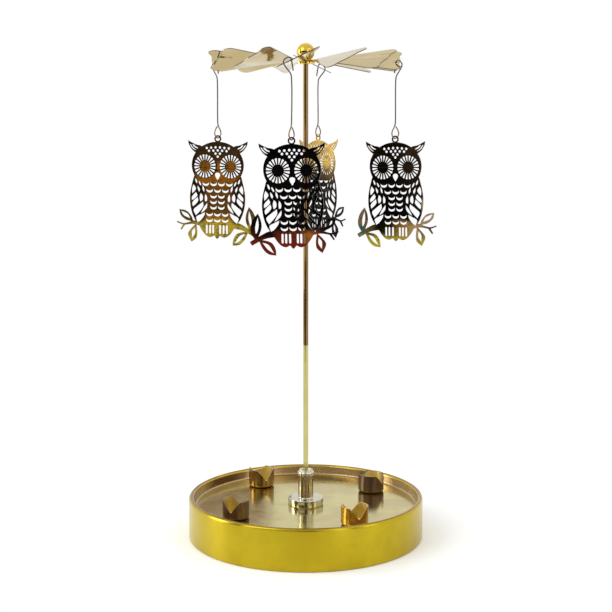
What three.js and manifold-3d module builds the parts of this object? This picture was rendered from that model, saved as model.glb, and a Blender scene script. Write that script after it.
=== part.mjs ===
// A candle carousel: a candle tray, a central rod with a needle bearing, a bladed wheel that
// warm air turns, and four pierced owl ornaments that hang from the wheel on formed wires.
// Millimetres, +Z up. The origin is the centre of the drum's base. Hangers lie along X and Y.

import * as THREE from "three";
import { mergeVertices } from "three/addons/utils/BufferGeometryUtils.js";
import Module from "manifold-3d";

const wasm = await Module();
wasm.setup();

// Shared allowances
const fitClearance = 0.1;
const cutOverrun = 1;
const weldTolerance = 0.0005;

// Candle tray drum, pressed from one sheet
const drumDiameter = 130;
const drumHeight = 23;
const drumSheet = 0.8;
const lipWidth = 3;
const recessDepth = 5.8;
const recessCornerRadius = 1.2;
const baseHemWidth = 4;

// Candle cups
const cupCount = 4;
const cupWallGap = 9;
const cupDiameter = 14.6;
const cupHeight = 10.2;
const cupWall = 0.8;
const cupBottom = 0.9;
const cupEdgeRadius = 1.6;
const notchWidth = 9.6;
const notchDepth = 5.8;
const cupBearing = 43;
const cupTurns = [-62, -10, 35, -16];

// Cup rivets
const rivetShankDiameter = 2;
const rivetHeadDiameter = 4.4;
const rivetHeadHeight = 0.9;
const rivetDomeShare = 0.7;
const rivetTailDiameter = 3.6;
const rivetTailHeight = 0.7;

// Post foot, its collar and its screw
const footFlangeDiameter = 19.6;
const footFlangeHeight = 4;
const footEdgeChamfer = 0.5;
const socketDiameter = 8.5;
const socketHeight = 13;
const socketMouthDiameter = 6.4;
const socketMouthDepth = 4;
const collarDiameter = 9.2;
const collarHeight = 3;
const collarSleeveLength = 3;
const collarWall = 0.7;
const rodSeatHeight = 6.5;
const screwShankDiameter = 2.9;
const screwReach = 3.8;
const screwHoleDepth = 4.6;
const screwHeadDiameter = 6;
const screwHeadHeight = 1.8;
const screwSlotWidth = 0.9;
const screwSlotDepth = 0.8;
const washerDiameter = 9;
const washerThickness = 0.6;

// Rod in two lengths, joined by a stud, with a needle in its top
const rodDiameter = 2.8;
const lowerRodLength = 83.5;
const upperRodLength = 153;
const studDiameter = 1.5;
const studReach = 6;
const needleDiameter = 1.1;
const needleSeatDepth = 5;
const needleRise = 4.1;
const needlePointLength = 1.6;
const endGap = 0.3;

// Hub: a flanged bush under the wheel, a bearing inside it and a ball on top
const hubFlangeDiameter = 10;
const hubFlangeHeight = 1.5;
const hubRunningGap = 0.5;
const hubSkirt = 1;
const spigotDiameter = 5.4;
const bearingThickness = 1.8;
const bearingDimpleDiameter = 2.4;
const bearingDimpleDepth = 1.1;
const bushRoof = 1;
const ballDiameter = 9.6;
const ballFlatDepth = 0.5;

// Rotor wheel, stamped from one sheet and twisted at each blade's neck
const bladeCount = 12;
const wheelSheet = 0.5;
const wheelDiameter = 102;
const hubDiscDiameter = 18;
const bladePitch = 25;
const bladeLead = 4;
const neckWidth = 2.8;
const neckLength = 4.4;
const bladeTipWidth = 23.8;
const bladeCornerRadius = 4.4;
const tipDipDepth = 1.1;
const tipCrownDepth = 0.4;
const tipDipShare = 0.5;
const tipLobeShare = 0.76;

// Hanger wires
const hangerCount = 4;
const hangerHoleInset = 2.8;
const hangerHoleDiameter = 2.2;
const wireDiameter = 0.7;
const hookReach = 5.6;
const hookTurn = -45;
const hangerDrop = 39.4;
const ringLoopHeight = 6;
const ringLoopTurns = [70, 110, 70, 70];
const ringSeatGap = 0.4;

// Hook from its free end, up through the blade and over the tip to the leg.
// Each pair is a reach outwards and a rise, from the wire's place in the hole.
const hookShares = [
  [-0.19, -0.92], [-0.13, -0.56], [-0.05, -0.2], [0, 0.02], [0.09, 0.2], [0.3, 0.27],
  [0.6, 0.17], [0.84, -0.04], [0.87, -0.27], [0.72, -0.5], [0.4, -0.84], [0.13, -1.14], [0.02, -1.38],
];
// Closed eye at the foot of the wire, from the leg round to its free end
const loopShares = [
  [0, 1.5], [-0.04, 1.2], [-0.16, 0.96], [-0.38, 0.66], [-0.45, 0.38], [-0.26, 0.09],
  [0, 0], [0.26, 0.09], [0.45, 0.38], [0.38, 0.66], [0.22, 0.88], [0.08, 1.02],
];

// Owl plates, cut from sheet. The points of their outlines are pairs of shares: across, of the
// plate's unit width, and upwards from the top of the head, of its height.
const plateHeight = 60;
const plateUnitWidth = 64.4;
const plateThickness = 0.5;
const ringHoleDiameter = 2.4;
const ringRim = 0.75;
const ringOverlap = 0.4;
const veinWidth = 0.7;
const owlTurns = [-17, -42, 174, 0];

const headCentreShare = -0.213;
const headWidthShare = 0.23;
const headHeightShare = 0.213;
const earShares = [
  [0.12, -0.07], [0.149, -0.034], [0.19, -0.029], [0.226, -0.014], [0.262, 0.007],
  [0.257, -0.018], [0.245, -0.05], [0.221, -0.083], [0.19, -0.101],
];
const earSlitShares = [[0.24, -0.018], [0.226, -0.052], [0.2, -0.076], [0.203, -0.056]];
const bodyShares = [
  [0, -0.2], [0.196, -0.3], [0.222, -0.365], [0.24, -0.455], [0.245, -0.53], [0.238, -0.6],
  [0.221, -0.665], [0.197, -0.715], [0.168, -0.745], [0.148, -0.785], [0.118, -0.835],
  [0.08, -0.866], [0.05, -0.868], [0.02, -0.858], [0, -0.884],
];
const eyeCentreShares = [0.1135, -0.217];
const eyeOuterShares = [0.095, 0.104];
const pupilShares = [0.045, 0.048];
const eyeSlotCount = 8;
const eyeRibShare = 0.014;
const beakShares = [[0, -0.34], [0.016, -0.312], [0.0235, -0.287], [0, -0.273]];
const dotShare = 0.011;
const dotPitchShare = 0.04;
const dotRowShares = [[6, -0.05], [5, -0.077], [2, -0.102], [1, -0.128]];
const crescentWidthShare = 0.029;
const crescentHeightShare = 0.027;
const crescentPitchShare = 0.07;
const crescentRowShares = [
  [4, -0.375], [3, -0.433], [2, -0.486], [2, -0.537], [2, -0.587], [3, -0.65], [3, -0.704],
];
const toeShares = [-0.086, -0.057, -0.025, 0.036, 0.063, 0.093];
const toeWidthShare = 0.017;
const toeTopShare = -0.749;
const toeBottomShare = -0.83;

// Wing cells lie between an outer and an inner edge, in columns that slanting veins cross
const wingOuterShares = [
  [0.2, -0.318], [0.222, -0.365], [0.24, -0.455], [0.245, -0.53], [0.238, -0.6], [0.221, -0.665],
  [0.19, -0.728],
];
const wingInnerShares = [
  [0.168, -0.345], [0.142, -0.38], [0.1, -0.47], [0.088, -0.53], [0.09, -0.6], [0.112, -0.665],
  [0.16, -0.728],
];
const wingColumnShares = [0, 0.46, 0.78, 1];
const wingRowShares = [[0.18, 0.38, 0.54, 0.7, 0.88], [0.32, 0.56, 0.76, 1.06], [0.5, 0.76, 1]];
const wingSlantShare = 0.3;

// Branch under the owl: a thick limb on one side, a forked twig on the other, and four leaves
const limbShares = [
  [-0.14, -0.725], [-0.2, -0.738], [-0.245, -0.762], [-0.3, -0.795], [-0.348, -0.822],
  [-0.33, -0.855], [-0.28, -0.825], [-0.22, -0.797], [-0.14, -0.775],
];
const twigShares = [
  [0.13, -0.705], [0.208, -0.722], [0.26, -0.74], [0.305, -0.75], [0.358, -0.734], [0.362, -0.745],
  [0.307, -0.764], [0.33, -0.806], [0.32, -0.81], [0.286, -0.762], [0.215, -0.752], [0.13, -0.775],
];
const leafShares = [
  { base: [-0.3, -0.812], tip: [-0.28, -0.582], halfWidth: 0.041 },
  { base: [-0.275, -0.81], tip: [-0.139, -0.938], halfWidth: 0.046 },
  { base: [0.215, -0.732], tip: [0.341, -0.625], halfWidth: 0.036 },
  { base: [0.19, -0.75], tip: [0.231, -0.916], halfWidth: 0.038 },
];
const leafSlitStartShare = 0.24;
const leafSlitEndShare = 0.86;
const leafSlitWidthShare = 0.42;
const leafPointsPerSide = 4;

// Facets
const drumFacets = 48;
const cupFacets = 20;
const turnedFacets = 20;
const discFacets = 40;
const smallFacets = 12;
const dotFacets = 4;
const lipArcSteps = 4;
const cornerArcSteps = 2;
const ballArcSteps = 7;
const headFacets = 22;
const ringFacets = 12;
const wireSides = 5;
const wireStepsPerBend = 2;
const neckSteps = 3;
const bladeCornerSteps = 3;

const degrees = THREE.MathUtils.degToRad;

// Heights that follow from the sizes above
const trayFloorZ = drumHeight - recessDepth;
const trayUndersideZ = trayFloorZ - drumSheet;
const flangeTopZ = trayFloorZ + footFlangeHeight;
const socketTopZ = flangeTopZ + socketHeight;
const rodBottomZ = trayFloorZ + rodSeatHeight;
const rodJointZ = rodBottomZ + lowerRodLength;
const rodTopZ = rodJointZ + upperRodLength;
const needleTipZ = rodTopZ + needleRise;
const bearingRoofZ = needleTipZ + endGap + bearingThickness - bearingDimpleDepth;
const bushBottomZ = rodTopZ - hubSkirt;
const wheelBottomZ = bushBottomZ + hubFlangeHeight;
const wheelTopZ = wheelBottomZ + wheelSheet;
const wheelMidZ = wheelBottomZ + wheelSheet / 2;
const bushTopZ = bearingRoofZ + bushRoof;

// Radii and the hangers' height that follow from the sizes above
const drumRadius = drumDiameter / 2;
const wheelRadius = wheelDiameter / 2;
const hangerRadius = wheelRadius - hangerHoleInset;
const hangerOffset = hangerRadius * Math.sin(degrees(bladeLead));
const hangerZ = wheelMidZ - hangerOffset * Math.tan(degrees(bladePitch));
const wireRadius = wireDiameter / 2;
const ringOuterRadius = ringHoleDiameter / 2 + ringRim;
const bushBoreRadius = rodDiameter / 2 + hubRunningGap;

const group = new THREE.Group();

// Welds a geometry's corners and drops the triangles that close up
function welded(geometry) {
  const plain = geometry.clone();
  plain.deleteAttribute("normal");
  plain.deleteAttribute("uv");
  const merged = mergeVertices(plain, weldTolerance);
  const kept = [];
  for (let i = 0; i < merged.index.count; i += 3) {
    const [a, b, c] = [0, 1, 2].map((corner) => merged.index.getX(i + corner));
    if (a !== b && b !== c && c !== a) kept.push(a, b, c);
  }
  merged.setIndex(kept);
  return merged;
}

function solidOf(geometry) {
  const mesh = welded(geometry);
  return new wasm.Manifold(new wasm.Mesh({
    numProp: 3,
    vertProperties: Float32Array.from(mesh.attributes.position.array),
    triVerts: Uint32Array.from(mesh.index.array),
  }));
}

function geometryOf(solid) {
  const mesh = solid.getMesh();
  const geometry = new THREE.BufferGeometry();
  geometry.setAttribute("position", new THREE.BufferAttribute(mesh.vertProperties, 3));
  geometry.setIndex(new THREE.BufferAttribute(mesh.triVerts, 1));
  return geometry;
}

function metal(color, roughness) {
  return new THREE.MeshStandardMaterial({ color, roughness, metalness: 1 });
}

const drumGold = () => metal(0xd9c04a, 0.3);
const cupBronze = () => metal(0x8a6424, 0.25);
const brightChrome = () => metal(0xd8d6d2, 0.12);
const paleGold = () => metal(0xd2c878, 0.25);
const darkBronze = () => metal(0x6b5430, 0.25);
const polishedGold = () => metal(0xe0b93a, 0.18);
const bladeChampagne = () => metal(0xd6c89c, 0.2);
const wireSteel = () => metal(0x9a9a96, 0.35);
const plainSteel = () => metal(0xb4b4b0, 0.4);
const heatTintedGold = () => metal(0x5a4424, 0.2);

// Adds a named piece to the model
function addPiece(name, geometry, material, place = new THREE.Vector3(), turn = 0, parent = group) {
  const piece = new THREE.Mesh(welded(geometry), material);
  piece.name = name;
  piece.position.copy(place);
  piece.rotation.z = degrees(turn);
  parent.add(piece);
  return piece;
}

// A turned body from radius and height pairs, anticlockwise, about the Z axis
function turned(profile, facets) {
  const points = profile.map(([radius, height]) => new THREE.Vector2(radius, height));
  const geometry = new THREE.LatheGeometry(points, facets);
  geometry.rotateX(Math.PI / 2);
  return geometry;
}

// Radius and height pairs along an arc, with both ends
function arc(centreRadius, centreHeight, radius, from, to, steps) {
  const points = [];
  for (let i = 0; i <= steps; i++) {
    const angle = degrees(from + ((to - from) * i) / steps);
    points.push([centreRadius + radius * Math.cos(angle), centreHeight + radius * Math.sin(angle)]);
  }
  return points;
}

// Flat plate with an outline in X and Y, centred on its thickness
function plate(points, thickness) {
  const shape = new THREE.Shape(points.map(([x, y]) => new THREE.Vector2(x, y)));
  const geometry = new THREE.ExtrudeGeometry(shape, { depth: thickness, bevelEnabled: false });
  geometry.translate(0, 0, -thickness / 2);
  return geometry;
}

function ellipse(x, y, radiusX, radiusY, facets) {
  const points = [];
  for (let i = 0; i < facets; i++) {
    const angle = (2 * Math.PI * i) / facets;
    points.push([x + radiusX * Math.cos(angle), y + radiusY * Math.sin(angle)]);
  }
  return points;
}

function uprightCylinder(radius, length, facets) {
  const geometry = new THREE.CylinderGeometry(radius, radius, length, facets);
  geometry.rotateX(Math.PI / 2);
  return geometry;
}

// Place of a cup on the tray, by its number from 0
function cupPlace(index, height) {
  const angle = degrees(cupBearing + (360 * index) / cupCount);
  const radius = drumRadius - lipWidth - cupWallGap - cupDiameter / 2;
  return new THREE.Vector3(radius * Math.cos(angle), radius * Math.sin(angle), height);
}

// Band, rolled lip, recess and floor in one sheet, open beneath, with holes for screw and rivets
function buildDrum() {
  const lipOuter = lipWidth / 2;
  const lipInner = lipOuter - drumSheet;
  const lipCentreRadius = drumRadius - lipOuter;
  const lipCentreZ = drumHeight - lipOuter;
  const recessRadius = drumRadius - lipWidth;
  const outerCorner = recessCornerRadius + drumSheet;
  const cornerRadius = recessRadius - recessCornerRadius;
  const cornerZ = trayFloorZ + recessCornerRadius;
  const screwHoleRadius = screwShankDiameter / 2 + fitClearance;
  const profile = [
    [drumRadius - baseHemWidth, 0],
    [drumRadius, 0],
    ...arc(lipCentreRadius, lipCentreZ, lipOuter, 0, 180, lipArcSteps),
    ...arc(cornerRadius, cornerZ, recessCornerRadius, 0, -90, cornerArcSteps),
    [screwHoleRadius, trayFloorZ],
    [screwHoleRadius, trayUndersideZ],
    ...arc(cornerRadius, cornerZ, outerCorner, -90, 0, cornerArcSteps),
    ...arc(lipCentreRadius, lipCentreZ, lipInner, 180, 0, lipArcSteps),
    [drumRadius - drumSheet, drumSheet],
    [drumRadius - baseHemWidth, drumSheet],
    [drumRadius - baseHemWidth, 0],
  ];
  let solid = solidOf(turned(profile, drumFacets));
  const rivetHoleRadius = rivetShankDiameter / 2 + fitClearance;
  const drill = uprightCylinder(rivetHoleRadius, drumSheet + 2 * cutOverrun, smallFacets);
  for (let i = 0; i < cupCount; i++) {
    const hole = drill.clone();
    hole.translate(...cupPlace(i, trayFloorZ - drumSheet / 2).toArray());
    solid = solid.subtract(solidOf(hole));
  }
  addPiece("base_drum", geometryOf(solid), drumGold());
}

// Sleeve with a closed, rounded bottom and two opposite V notches that grip a candle
function cupGeometry() {
  const outer = cupDiameter / 2;
  const inner = outer - cupWall;
  const holeRadius = rivetShankDiameter / 2 + fitClearance;
  const profile = [
    [holeRadius, 0],
    ...arc(outer - cupEdgeRadius, cupEdgeRadius, cupEdgeRadius, -90, 0, cornerArcSteps),
    [outer, cupHeight],
    [inner, cupHeight],
    [inner, cupBottom],
    [holeRadius, cupBottom],
    [holeRadius, 0],
  ];
  const halfNotch = notchWidth / 2;
  const flare = 1 + cutOverrun / notchDepth;
  const wedge = plate([
    [0, cupHeight - notchDepth],
    [halfNotch * flare, cupHeight + cutOverrun],
    [-halfNotch * flare, cupHeight + cutOverrun],
  ], cupDiameter + 2 * cutOverrun);
  wedge.rotateX(Math.PI / 2);
  wedge.rotateZ(Math.PI / 2);
  return geometryOf(solidOf(turned(profile, cupFacets)).subtract(solidOf(wedge)));
}

// Rivet with a domed head in the cup and a flat tail under the tray, from the cup's foot
function rivetGeometry() {
  const shank = rivetShankDiameter / 2;
  const head = rivetHeadDiameter / 2;
  const tail = rivetTailDiameter / 2;
  return turned([
    [0, -drumSheet - rivetTailHeight],
    [tail, -drumSheet - rivetTailHeight],
    [tail, -drumSheet],
    [shank, -drumSheet],
    [shank, cupBottom],
    [head, cupBottom],
    [head * rivetDomeShare, cupBottom + rivetHeadHeight * rivetDomeShare],
    [0, cupBottom + rivetHeadHeight],
  ], smallFacets);
}

function buildCups() {
  const cup = cupGeometry();
  const rivet = rivetGeometry();
  for (let i = 0; i < cupCount; i++) {
    const turn = cupBearing + (360 * i) / cupCount + cupTurns[i];
    addPiece(`candle_cup_${i + 1}`, cup, cupBronze(), cupPlace(i, trayFloorZ), turn);
    addPiece(`cup_rivet_${i + 1}`, rivet, plainSteel(), cupPlace(i, trayFloorZ));
  }
}

// Flange and socket in one turned piece: a screw hole from beneath and a rod bore from the top
function buildFoot() {
  const flange = footFlangeDiameter / 2;
  const socket = socketDiameter / 2;
  const mouth = socketMouthDiameter / 2;
  const rodBore = rodDiameter / 2 + fitClearance;
  const screwBore = screwShankDiameter / 2 + fitClearance;
  addPiece("post_foot", turned([
    [0, trayFloorZ + screwHoleDepth],
    [screwBore, trayFloorZ + screwHoleDepth],
    [screwBore, trayFloorZ],
    [flange, trayFloorZ],
    [flange, flangeTopZ - footEdgeChamfer],
    [flange - footEdgeChamfer, flangeTopZ],
    [socket + footEdgeChamfer, flangeTopZ],
    [socket, flangeTopZ + footEdgeChamfer],
    [socket, socketTopZ],
    [mouth, socketTopZ],
    [mouth, socketTopZ - socketMouthDepth],
    [rodBore, socketTopZ - socketMouthDepth],
    [rodBore, rodBottomZ],
    [0, rodBottomZ],
  ], turnedFacets), brightChrome());
}

// Rounded ring on the socket's mouth, with a sleeve that drops into it
function buildCollar() {
  const sleeve = socketMouthDiameter / 2 - fitClearance;
  const bore = sleeve - collarWall;
  const bulge = collarHeight / 2;
  const bulgeRadius = collarDiameter / 2 - bulge;
  addPiece("foot_collar", turned([
    [bore, socketTopZ - collarSleeveLength],
    [sleeve, socketTopZ - collarSleeveLength],
    [sleeve, socketTopZ],
    ...arc(bulgeRadius, socketTopZ + bulge, bulge, -90, 90, lipArcSteps),
    [bore, socketTopZ + collarHeight - footEdgeChamfer],
    [bore, socketTopZ - collarSleeveLength],
  ], turnedFacets), brightChrome());
}

// Screw and washer that pull the foot down on the tray from beneath
function buildFootScrew() {
  const shank = screwShankDiameter / 2;
  const head = screwHeadDiameter / 2;
  const washer = washerDiameter / 2;
  const washerBore = shank + fitClearance;
  const seatZ = trayUndersideZ - washerThickness;
  const headBottomZ = seatZ - screwHeadHeight;
  const body = solidOf(turned([
    [0, headBottomZ],
    [head, headBottomZ],
    [head, seatZ],
    [shank, seatZ],
    [shank, trayFloorZ + screwReach],
    [0, trayFloorZ + screwReach],
  ], smallFacets));
  const slotLength = screwHeadDiameter + 2 * cutOverrun;
  const slotHeight = screwSlotDepth + cutOverrun;
  const slot = new THREE.BoxGeometry(slotLength, screwSlotWidth, slotHeight);
  slot.translate(0, 0, headBottomZ + screwSlotDepth - slotHeight / 2);
  addPiece("foot_screw", geometryOf(body.subtract(solidOf(slot))), plainSteel());
  addPiece("foot_washer", turned([
    [washerBore, seatZ],
    [washer, seatZ],
    [washer, trayUndersideZ],
    [washerBore, trayUndersideZ],
    [washerBore, seatZ],
  ], smallFacets), plainSteel());
}

// The two rods, the stud between them and the pointed needle on top
function buildRods() {
  const rod = rodDiameter / 2;
  const stud = studDiameter / 2;
  const studBore = stud + fitClearance;
  const needle = needleDiameter / 2;
  const needleBore = needle + fitClearance;
  const boreDepth = studReach + endGap;
  addPiece("lower_rod", turned([
    [0, rodBottomZ],
    [rod, rodBottomZ],
    [rod, rodJointZ],
    [studBore, rodJointZ],
    [studBore, rodJointZ - boreDepth],
    [0, rodJointZ - boreDepth],
  ], turnedFacets), paleGold());
  addPiece("upper_rod", turned([
    [0, rodJointZ + boreDepth],
    [studBore, rodJointZ + boreDepth],
    [studBore, rodJointZ],
    [rod, rodJointZ],
    [rod, rodTopZ],
    [needleBore, rodTopZ],
    [needleBore, rodTopZ - needleSeatDepth],
    [0, rodTopZ - needleSeatDepth],
  ], turnedFacets), darkBronze());
  addPiece("rod_joint_stud", turned([
    [0, rodJointZ - studReach],
    [stud, rodJointZ - studReach],
    [stud, rodJointZ + studReach],
    [0, rodJointZ + studReach],
  ], smallFacets), plainSteel());
  addPiece("pivot_needle", turned([
    [0, rodTopZ - needleSeatDepth],
    [needle, rodTopZ - needleSeatDepth],
    [needle, needleTipZ - needlePointLength],
    [0, needleTipZ],
  ], smallFacets), plainSteel());
}

// Bush, bearing and ball, which turn with the wheel on the needle
function buildHub() {
  const flange = hubFlangeDiameter / 2;
  const spigot = spigotDiameter / 2;
  const ball = ballDiameter / 2;
  const ballCentreZ = wheelTopZ + ball - ballFlatDepth;
  const ballStart = THREE.MathUtils.radToDeg(Math.asin((wheelTopZ - ballCentreZ) / ball));
  const ballBore = spigot + fitClearance;
  const bearing = bushBoreRadius - fitClearance;
  const bearingBottomZ = bearingRoofZ - bearingThickness;
  addPiece("hub_bush", turned([
    [0, bearingRoofZ],
    [bushBoreRadius, bearingRoofZ],
    [bushBoreRadius, bushBottomZ],
    [flange, bushBottomZ],
    [flange, wheelBottomZ],
    [spigot, wheelBottomZ],
    [spigot, bushTopZ],
    [0, bushTopZ],
  ], turnedFacets), polishedGold());
  addPiece("bearing_cup", turned([
    [0, bearingBottomZ + bearingDimpleDepth],
    [bearingDimpleDiameter / 2, bearingBottomZ],
    [bearing, bearingBottomZ],
    [bearing, bearingRoofZ],
    [0, bearingRoofZ],
  ], smallFacets), plainSteel());
  addPiece("hub_ball", turned([
    [0, bushTopZ + endGap],
    [ballBore, bushTopZ + endGap],
    [ballBore, wheelTopZ],
    ...arc(0, ballCentreZ, ball, ballStart, 90, ballArcSteps),
  ], turnedFacets), polishedGold());
}

// Outline of one flat blade, with X along its length, from inside the hub disc to the tip
function bladeOutline() {
  const halfNeck = neckWidth / 2;
  const halfTip = bladeTipWidth / 2;
  const rootX = hubDiscDiameter / 2 - neckWidth;
  const neckStartX = hubDiscDiameter / 2;
  const cornerX = wheelRadius - bladeCornerRadius;
  const side = [[rootX, halfNeck]];
  for (let i = 0; i <= neckSteps; i++) side.push([neckStartX + (neckLength * i) / neckSteps, halfNeck]);
  const lobeY = halfTip * tipLobeShare;
  const corner = new THREE.QuadraticBezierCurve(
    new THREE.Vector2(cornerX, halfTip),
    new THREE.Vector2(wheelRadius, halfTip),
    new THREE.Vector2(wheelRadius, lobeY),
  );
  for (const point of corner.getPoints(bladeCornerSteps)) side.push([point.x, point.y]);
  side.push([wheelRadius - tipDipDepth, halfTip * tipDipShare]);
  const otherSide = side.map(([x, y]) => [x, -y]);
  return [...otherSide, [wheelRadius - tipCrownDepth, 0], ...side.reverse()];
}

// Turns a flat blade about its length, from flat at the hub disc to full pitch past the neck
function twistBlade(geometry) {
  const position = geometry.attributes.position;
  for (let i = 0; i < position.count; i++) {
    const [x, y, z] = [position.getX(i), position.getY(i), position.getZ(i)];
    const along = (x - hubDiscDiameter / 2) / neckLength;
    const angle = degrees(bladePitch) * THREE.MathUtils.smoothstep(along, 0, 1);
    position.setY(i, y * Math.cos(angle) - z * Math.sin(angle));
    position.setZ(i, y * Math.sin(angle) + z * Math.cos(angle));
  }
  return geometry;
}

function buildWheel() {
  const disc = uprightCylinder(hubDiscDiameter / 2, wheelSheet, discFacets);
  let solid = solidOf(disc);
  const blade = twistBlade(plate(bladeOutline(), wheelSheet));
  const hangerHole = uprightCylinder(hangerHoleDiameter / 2, 2 * cutOverrun, smallFacets);
  hangerHole.rotateX(degrees(bladePitch));
  hangerHole.translate(hangerRadius * Math.cos(degrees(bladeLead)), -hangerOffset, hangerZ - wheelMidZ);
  const pierced = geometryOf(solidOf(blade).subtract(solidOf(hangerHole)));
  for (let i = 0; i < bladeCount; i++) {
    const copy = (i * hangerCount) % bladeCount === 0 ? pierced.clone() : blade.clone();
    copy.rotateZ(degrees(bladeLead + (360 * i) / bladeCount));
    solid = solid.add(solidOf(copy));
  }
  const bore = uprightCylinder(spigotDiameter / 2 + fitClearance, 2 * cutOverrun, turnedFacets);
  const wheel = geometryOf(solid.subtract(solidOf(bore)));
  addPiece("rotor_wheel", wheel, bladeChampagne(), new THREE.Vector3(0, 0, wheelMidZ));
}

// A smooth path whose rings are shared out evenly among the bends, not along the length
class FormedWire extends THREE.CatmullRomCurve3 {
  getUtoTmapping(u) {
    return u;
  }
}

// Wire with a hook over the blade's tip and a closed eye that holds the plate's ring.
// Its origin is where it passes through the hole, with X pointing outwards.
function wireGeometry(eyeTurn) {
  const hookAngle = degrees(hookTurn);
  const eyeAngle = degrees(eyeTurn);
  const hook = hookShares.map(([reach, rise]) => new THREE.Vector3(
    reach * hookReach * Math.cos(hookAngle),
    reach * hookReach * Math.sin(hookAngle),
    rise * hookReach,
  ));
  const eye = loopShares.map(([reach, rise]) => new THREE.Vector3(
    reach * ringLoopHeight * Math.cos(eyeAngle),
    reach * ringLoopHeight * Math.sin(eyeAngle),
    rise * ringLoopHeight - hangerDrop,
  ));
  const path = new FormedWire([...hook, ...eye], false, "centripetal");
  const section = new THREE.Shape(ellipse(0, 0, wireRadius, wireRadius, wireSides)
    .map(([x, y]) => new THREE.Vector2(x, y)));
  const steps = (path.points.length - 1) * wireStepsPerBend;
  return new THREE.ExtrudeGeometry(section, { steps, extrudePath: path, bevelEnabled: false });
}

const mirrored = (points) => points.map(([x, y]) => [-x, y]);
const bothSides = (points) => [points, mirrored(points)];

// A point on a polyline of shares, with 0 at its start and 1 at its end
function pointOn(polyline, share) {
  const place = THREE.MathUtils.clamp(share, 0, 1) * (polyline.length - 1);
  const index = Math.min(Math.floor(place), polyline.length - 2);
  const [from, to] = [polyline[index], polyline[index + 1]];
  const part = place - index;
  return [from[0] + (to[0] - from[0]) * part, from[1] + (to[1] - from[1]) * part];
}

// A point of a leaf: part of the way from its base to its tip, then sideways by a distance
function leafPoint({ base, tip }, share, out) {
  const along = [tip[0] - base[0], tip[1] - base[1]];
  const sideways = out / Math.hypot(...along);
  return [
    base[0] + along[0] * share - along[1] * sideways,
    base[1] + along[1] * share + along[0] * sideways,
  ];
}

// Pointed leaf between two ends, as an outline in shares
function leafOutline(leaf) {
  const side = (sign) => {
    const points = [];
    for (let i = 1; i < leafPointsPerSide; i++) {
      const share = i / leafPointsPerSide;
      points.push(leafPoint(leaf, share, sign * leaf.halfWidth * Math.sin(Math.PI * share)));
    }
    return points;
  };
  return [leaf.base, ...side(-1), leaf.tip, ...side(1).reverse()];
}

function leafSlit(leaf) {
  const middle = (leafSlitStartShare + leafSlitEndShare) / 2;
  const out = leaf.halfWidth * leafSlitWidthShare;
  return [
    leafPoint(leaf, leafSlitStartShare, 0),
    leafPoint(leaf, middle, -out),
    leafPoint(leaf, leafSlitEndShare, 0),
    leafPoint(leaf, middle, out),
  ];
}

// Radial slots of one eye, between the pupil and the eye's rim
function eyeSlots() {
  const [centreX, centreY] = eyeCentreShares;
  const slots = [];
  for (let i = 0; i < eyeSlotCount; i++) {
    const corners = [];
    for (const [side, isOuter] of [[-1, false], [-1, true], [1, true], [1, false]]) {
      const middle = (2 * Math.PI * (i + 1 / 2)) / eyeSlotCount;
      const [radiusX, radiusY] = isOuter ? eyeOuterShares : pupilShares;
      const radius = Math.min(radiusX, radiusY);
      const angle = middle + side * (Math.PI / eyeSlotCount - eyeRibShare / radius / 2);
      corners.push([centreX + radiusX * Math.cos(angle), centreY + radiusY * Math.sin(angle)]);
    }
    slots.push(corners);
  }
  return slots;
}

// A centred row of like shapes
function row(count, pitch, draw) {
  const shapes = [];
  for (let i = 0; i < count; i++) shapes.push(draw((i - (count - 1) / 2) * pitch));
  return shapes;
}

function crescent(x, y) {
  const wide = crescentWidthShare;
  const high = crescentHeightShare / 2;
  return [[x - wide, y + high], [x - wide / 2, y - high], [x + wide / 2, y - high], [x + wide, y + high]];
}

// Feather cells of one wing, each shrunk by half a vein all round
function wingCells() {
  const halfVein = veinWidth / plateHeight / 2;
  const cells = [];
  wingRowShares.forEach((rows, column) => {
    for (let i = 0; i + 1 < rows.length; i++) {
      const corner = (across, down) => {
        const share = down - wingSlantShare * across;
        const outer = pointOn(wingOuterShares, share);
        const inner = pointOn(wingInnerShares, share);
        return [outer[0] + (inner[0] - outer[0]) * across, outer[1] + (inner[1] - outer[1]) * across];
      };
      const [from, to] = [wingColumnShares[column], wingColumnShares[column + 1]];
      const [top, bottom] = [rows[i], rows[i + 1]];
      const corners = [corner(from, top), corner(from, bottom), corner(to, bottom), corner(to, top)];
      cells.push(shrunk(corners, halfVein));
    }
  });
  return cells;
}

// Moves each side of a convex outline inwards by the same distance
function shrunk(corners, distance) {
  const count = corners.length;
  const area = corners.reduce((sum, [x, y], i) => {
    const [nextX, nextY] = corners[(i + 1) % count];
    return sum + x * nextY - nextX * y;
  }, 0);
  const inwards = Math.sign(area);
  const sides = corners.map(([x, y], i) => {
    const [nextX, nextY] = corners[(i + 1) % count];
    const length = Math.hypot(nextX - x, nextY - y);
    const normal = [(-(nextY - y) / length) * inwards, ((nextX - x) / length) * inwards];
    return { normal, offset: normal[0] * x + normal[1] * y + distance };
  });
  return corners.map((_, i) => {
    const [a, b] = [sides[(i + count - 1) % count], sides[i]];
    const scale = a.normal[0] * b.normal[1] - a.normal[1] * b.normal[0];
    return [
      (a.offset * b.normal[1] - b.offset * a.normal[1]) / scale,
      (b.offset * a.normal[0] - a.offset * b.normal[0]) / scale,
    ];
  });
}

function toeSlots() {
  const half = toeWidthShare / 2;
  return toeShares.map((x) => {
    const [left, right] = [x - half, x + half];
    return [[left, toeTopShare], [left, toeBottomShare], [right, toeBottomShare], [right, toeTopShare]];
  });
}

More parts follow.
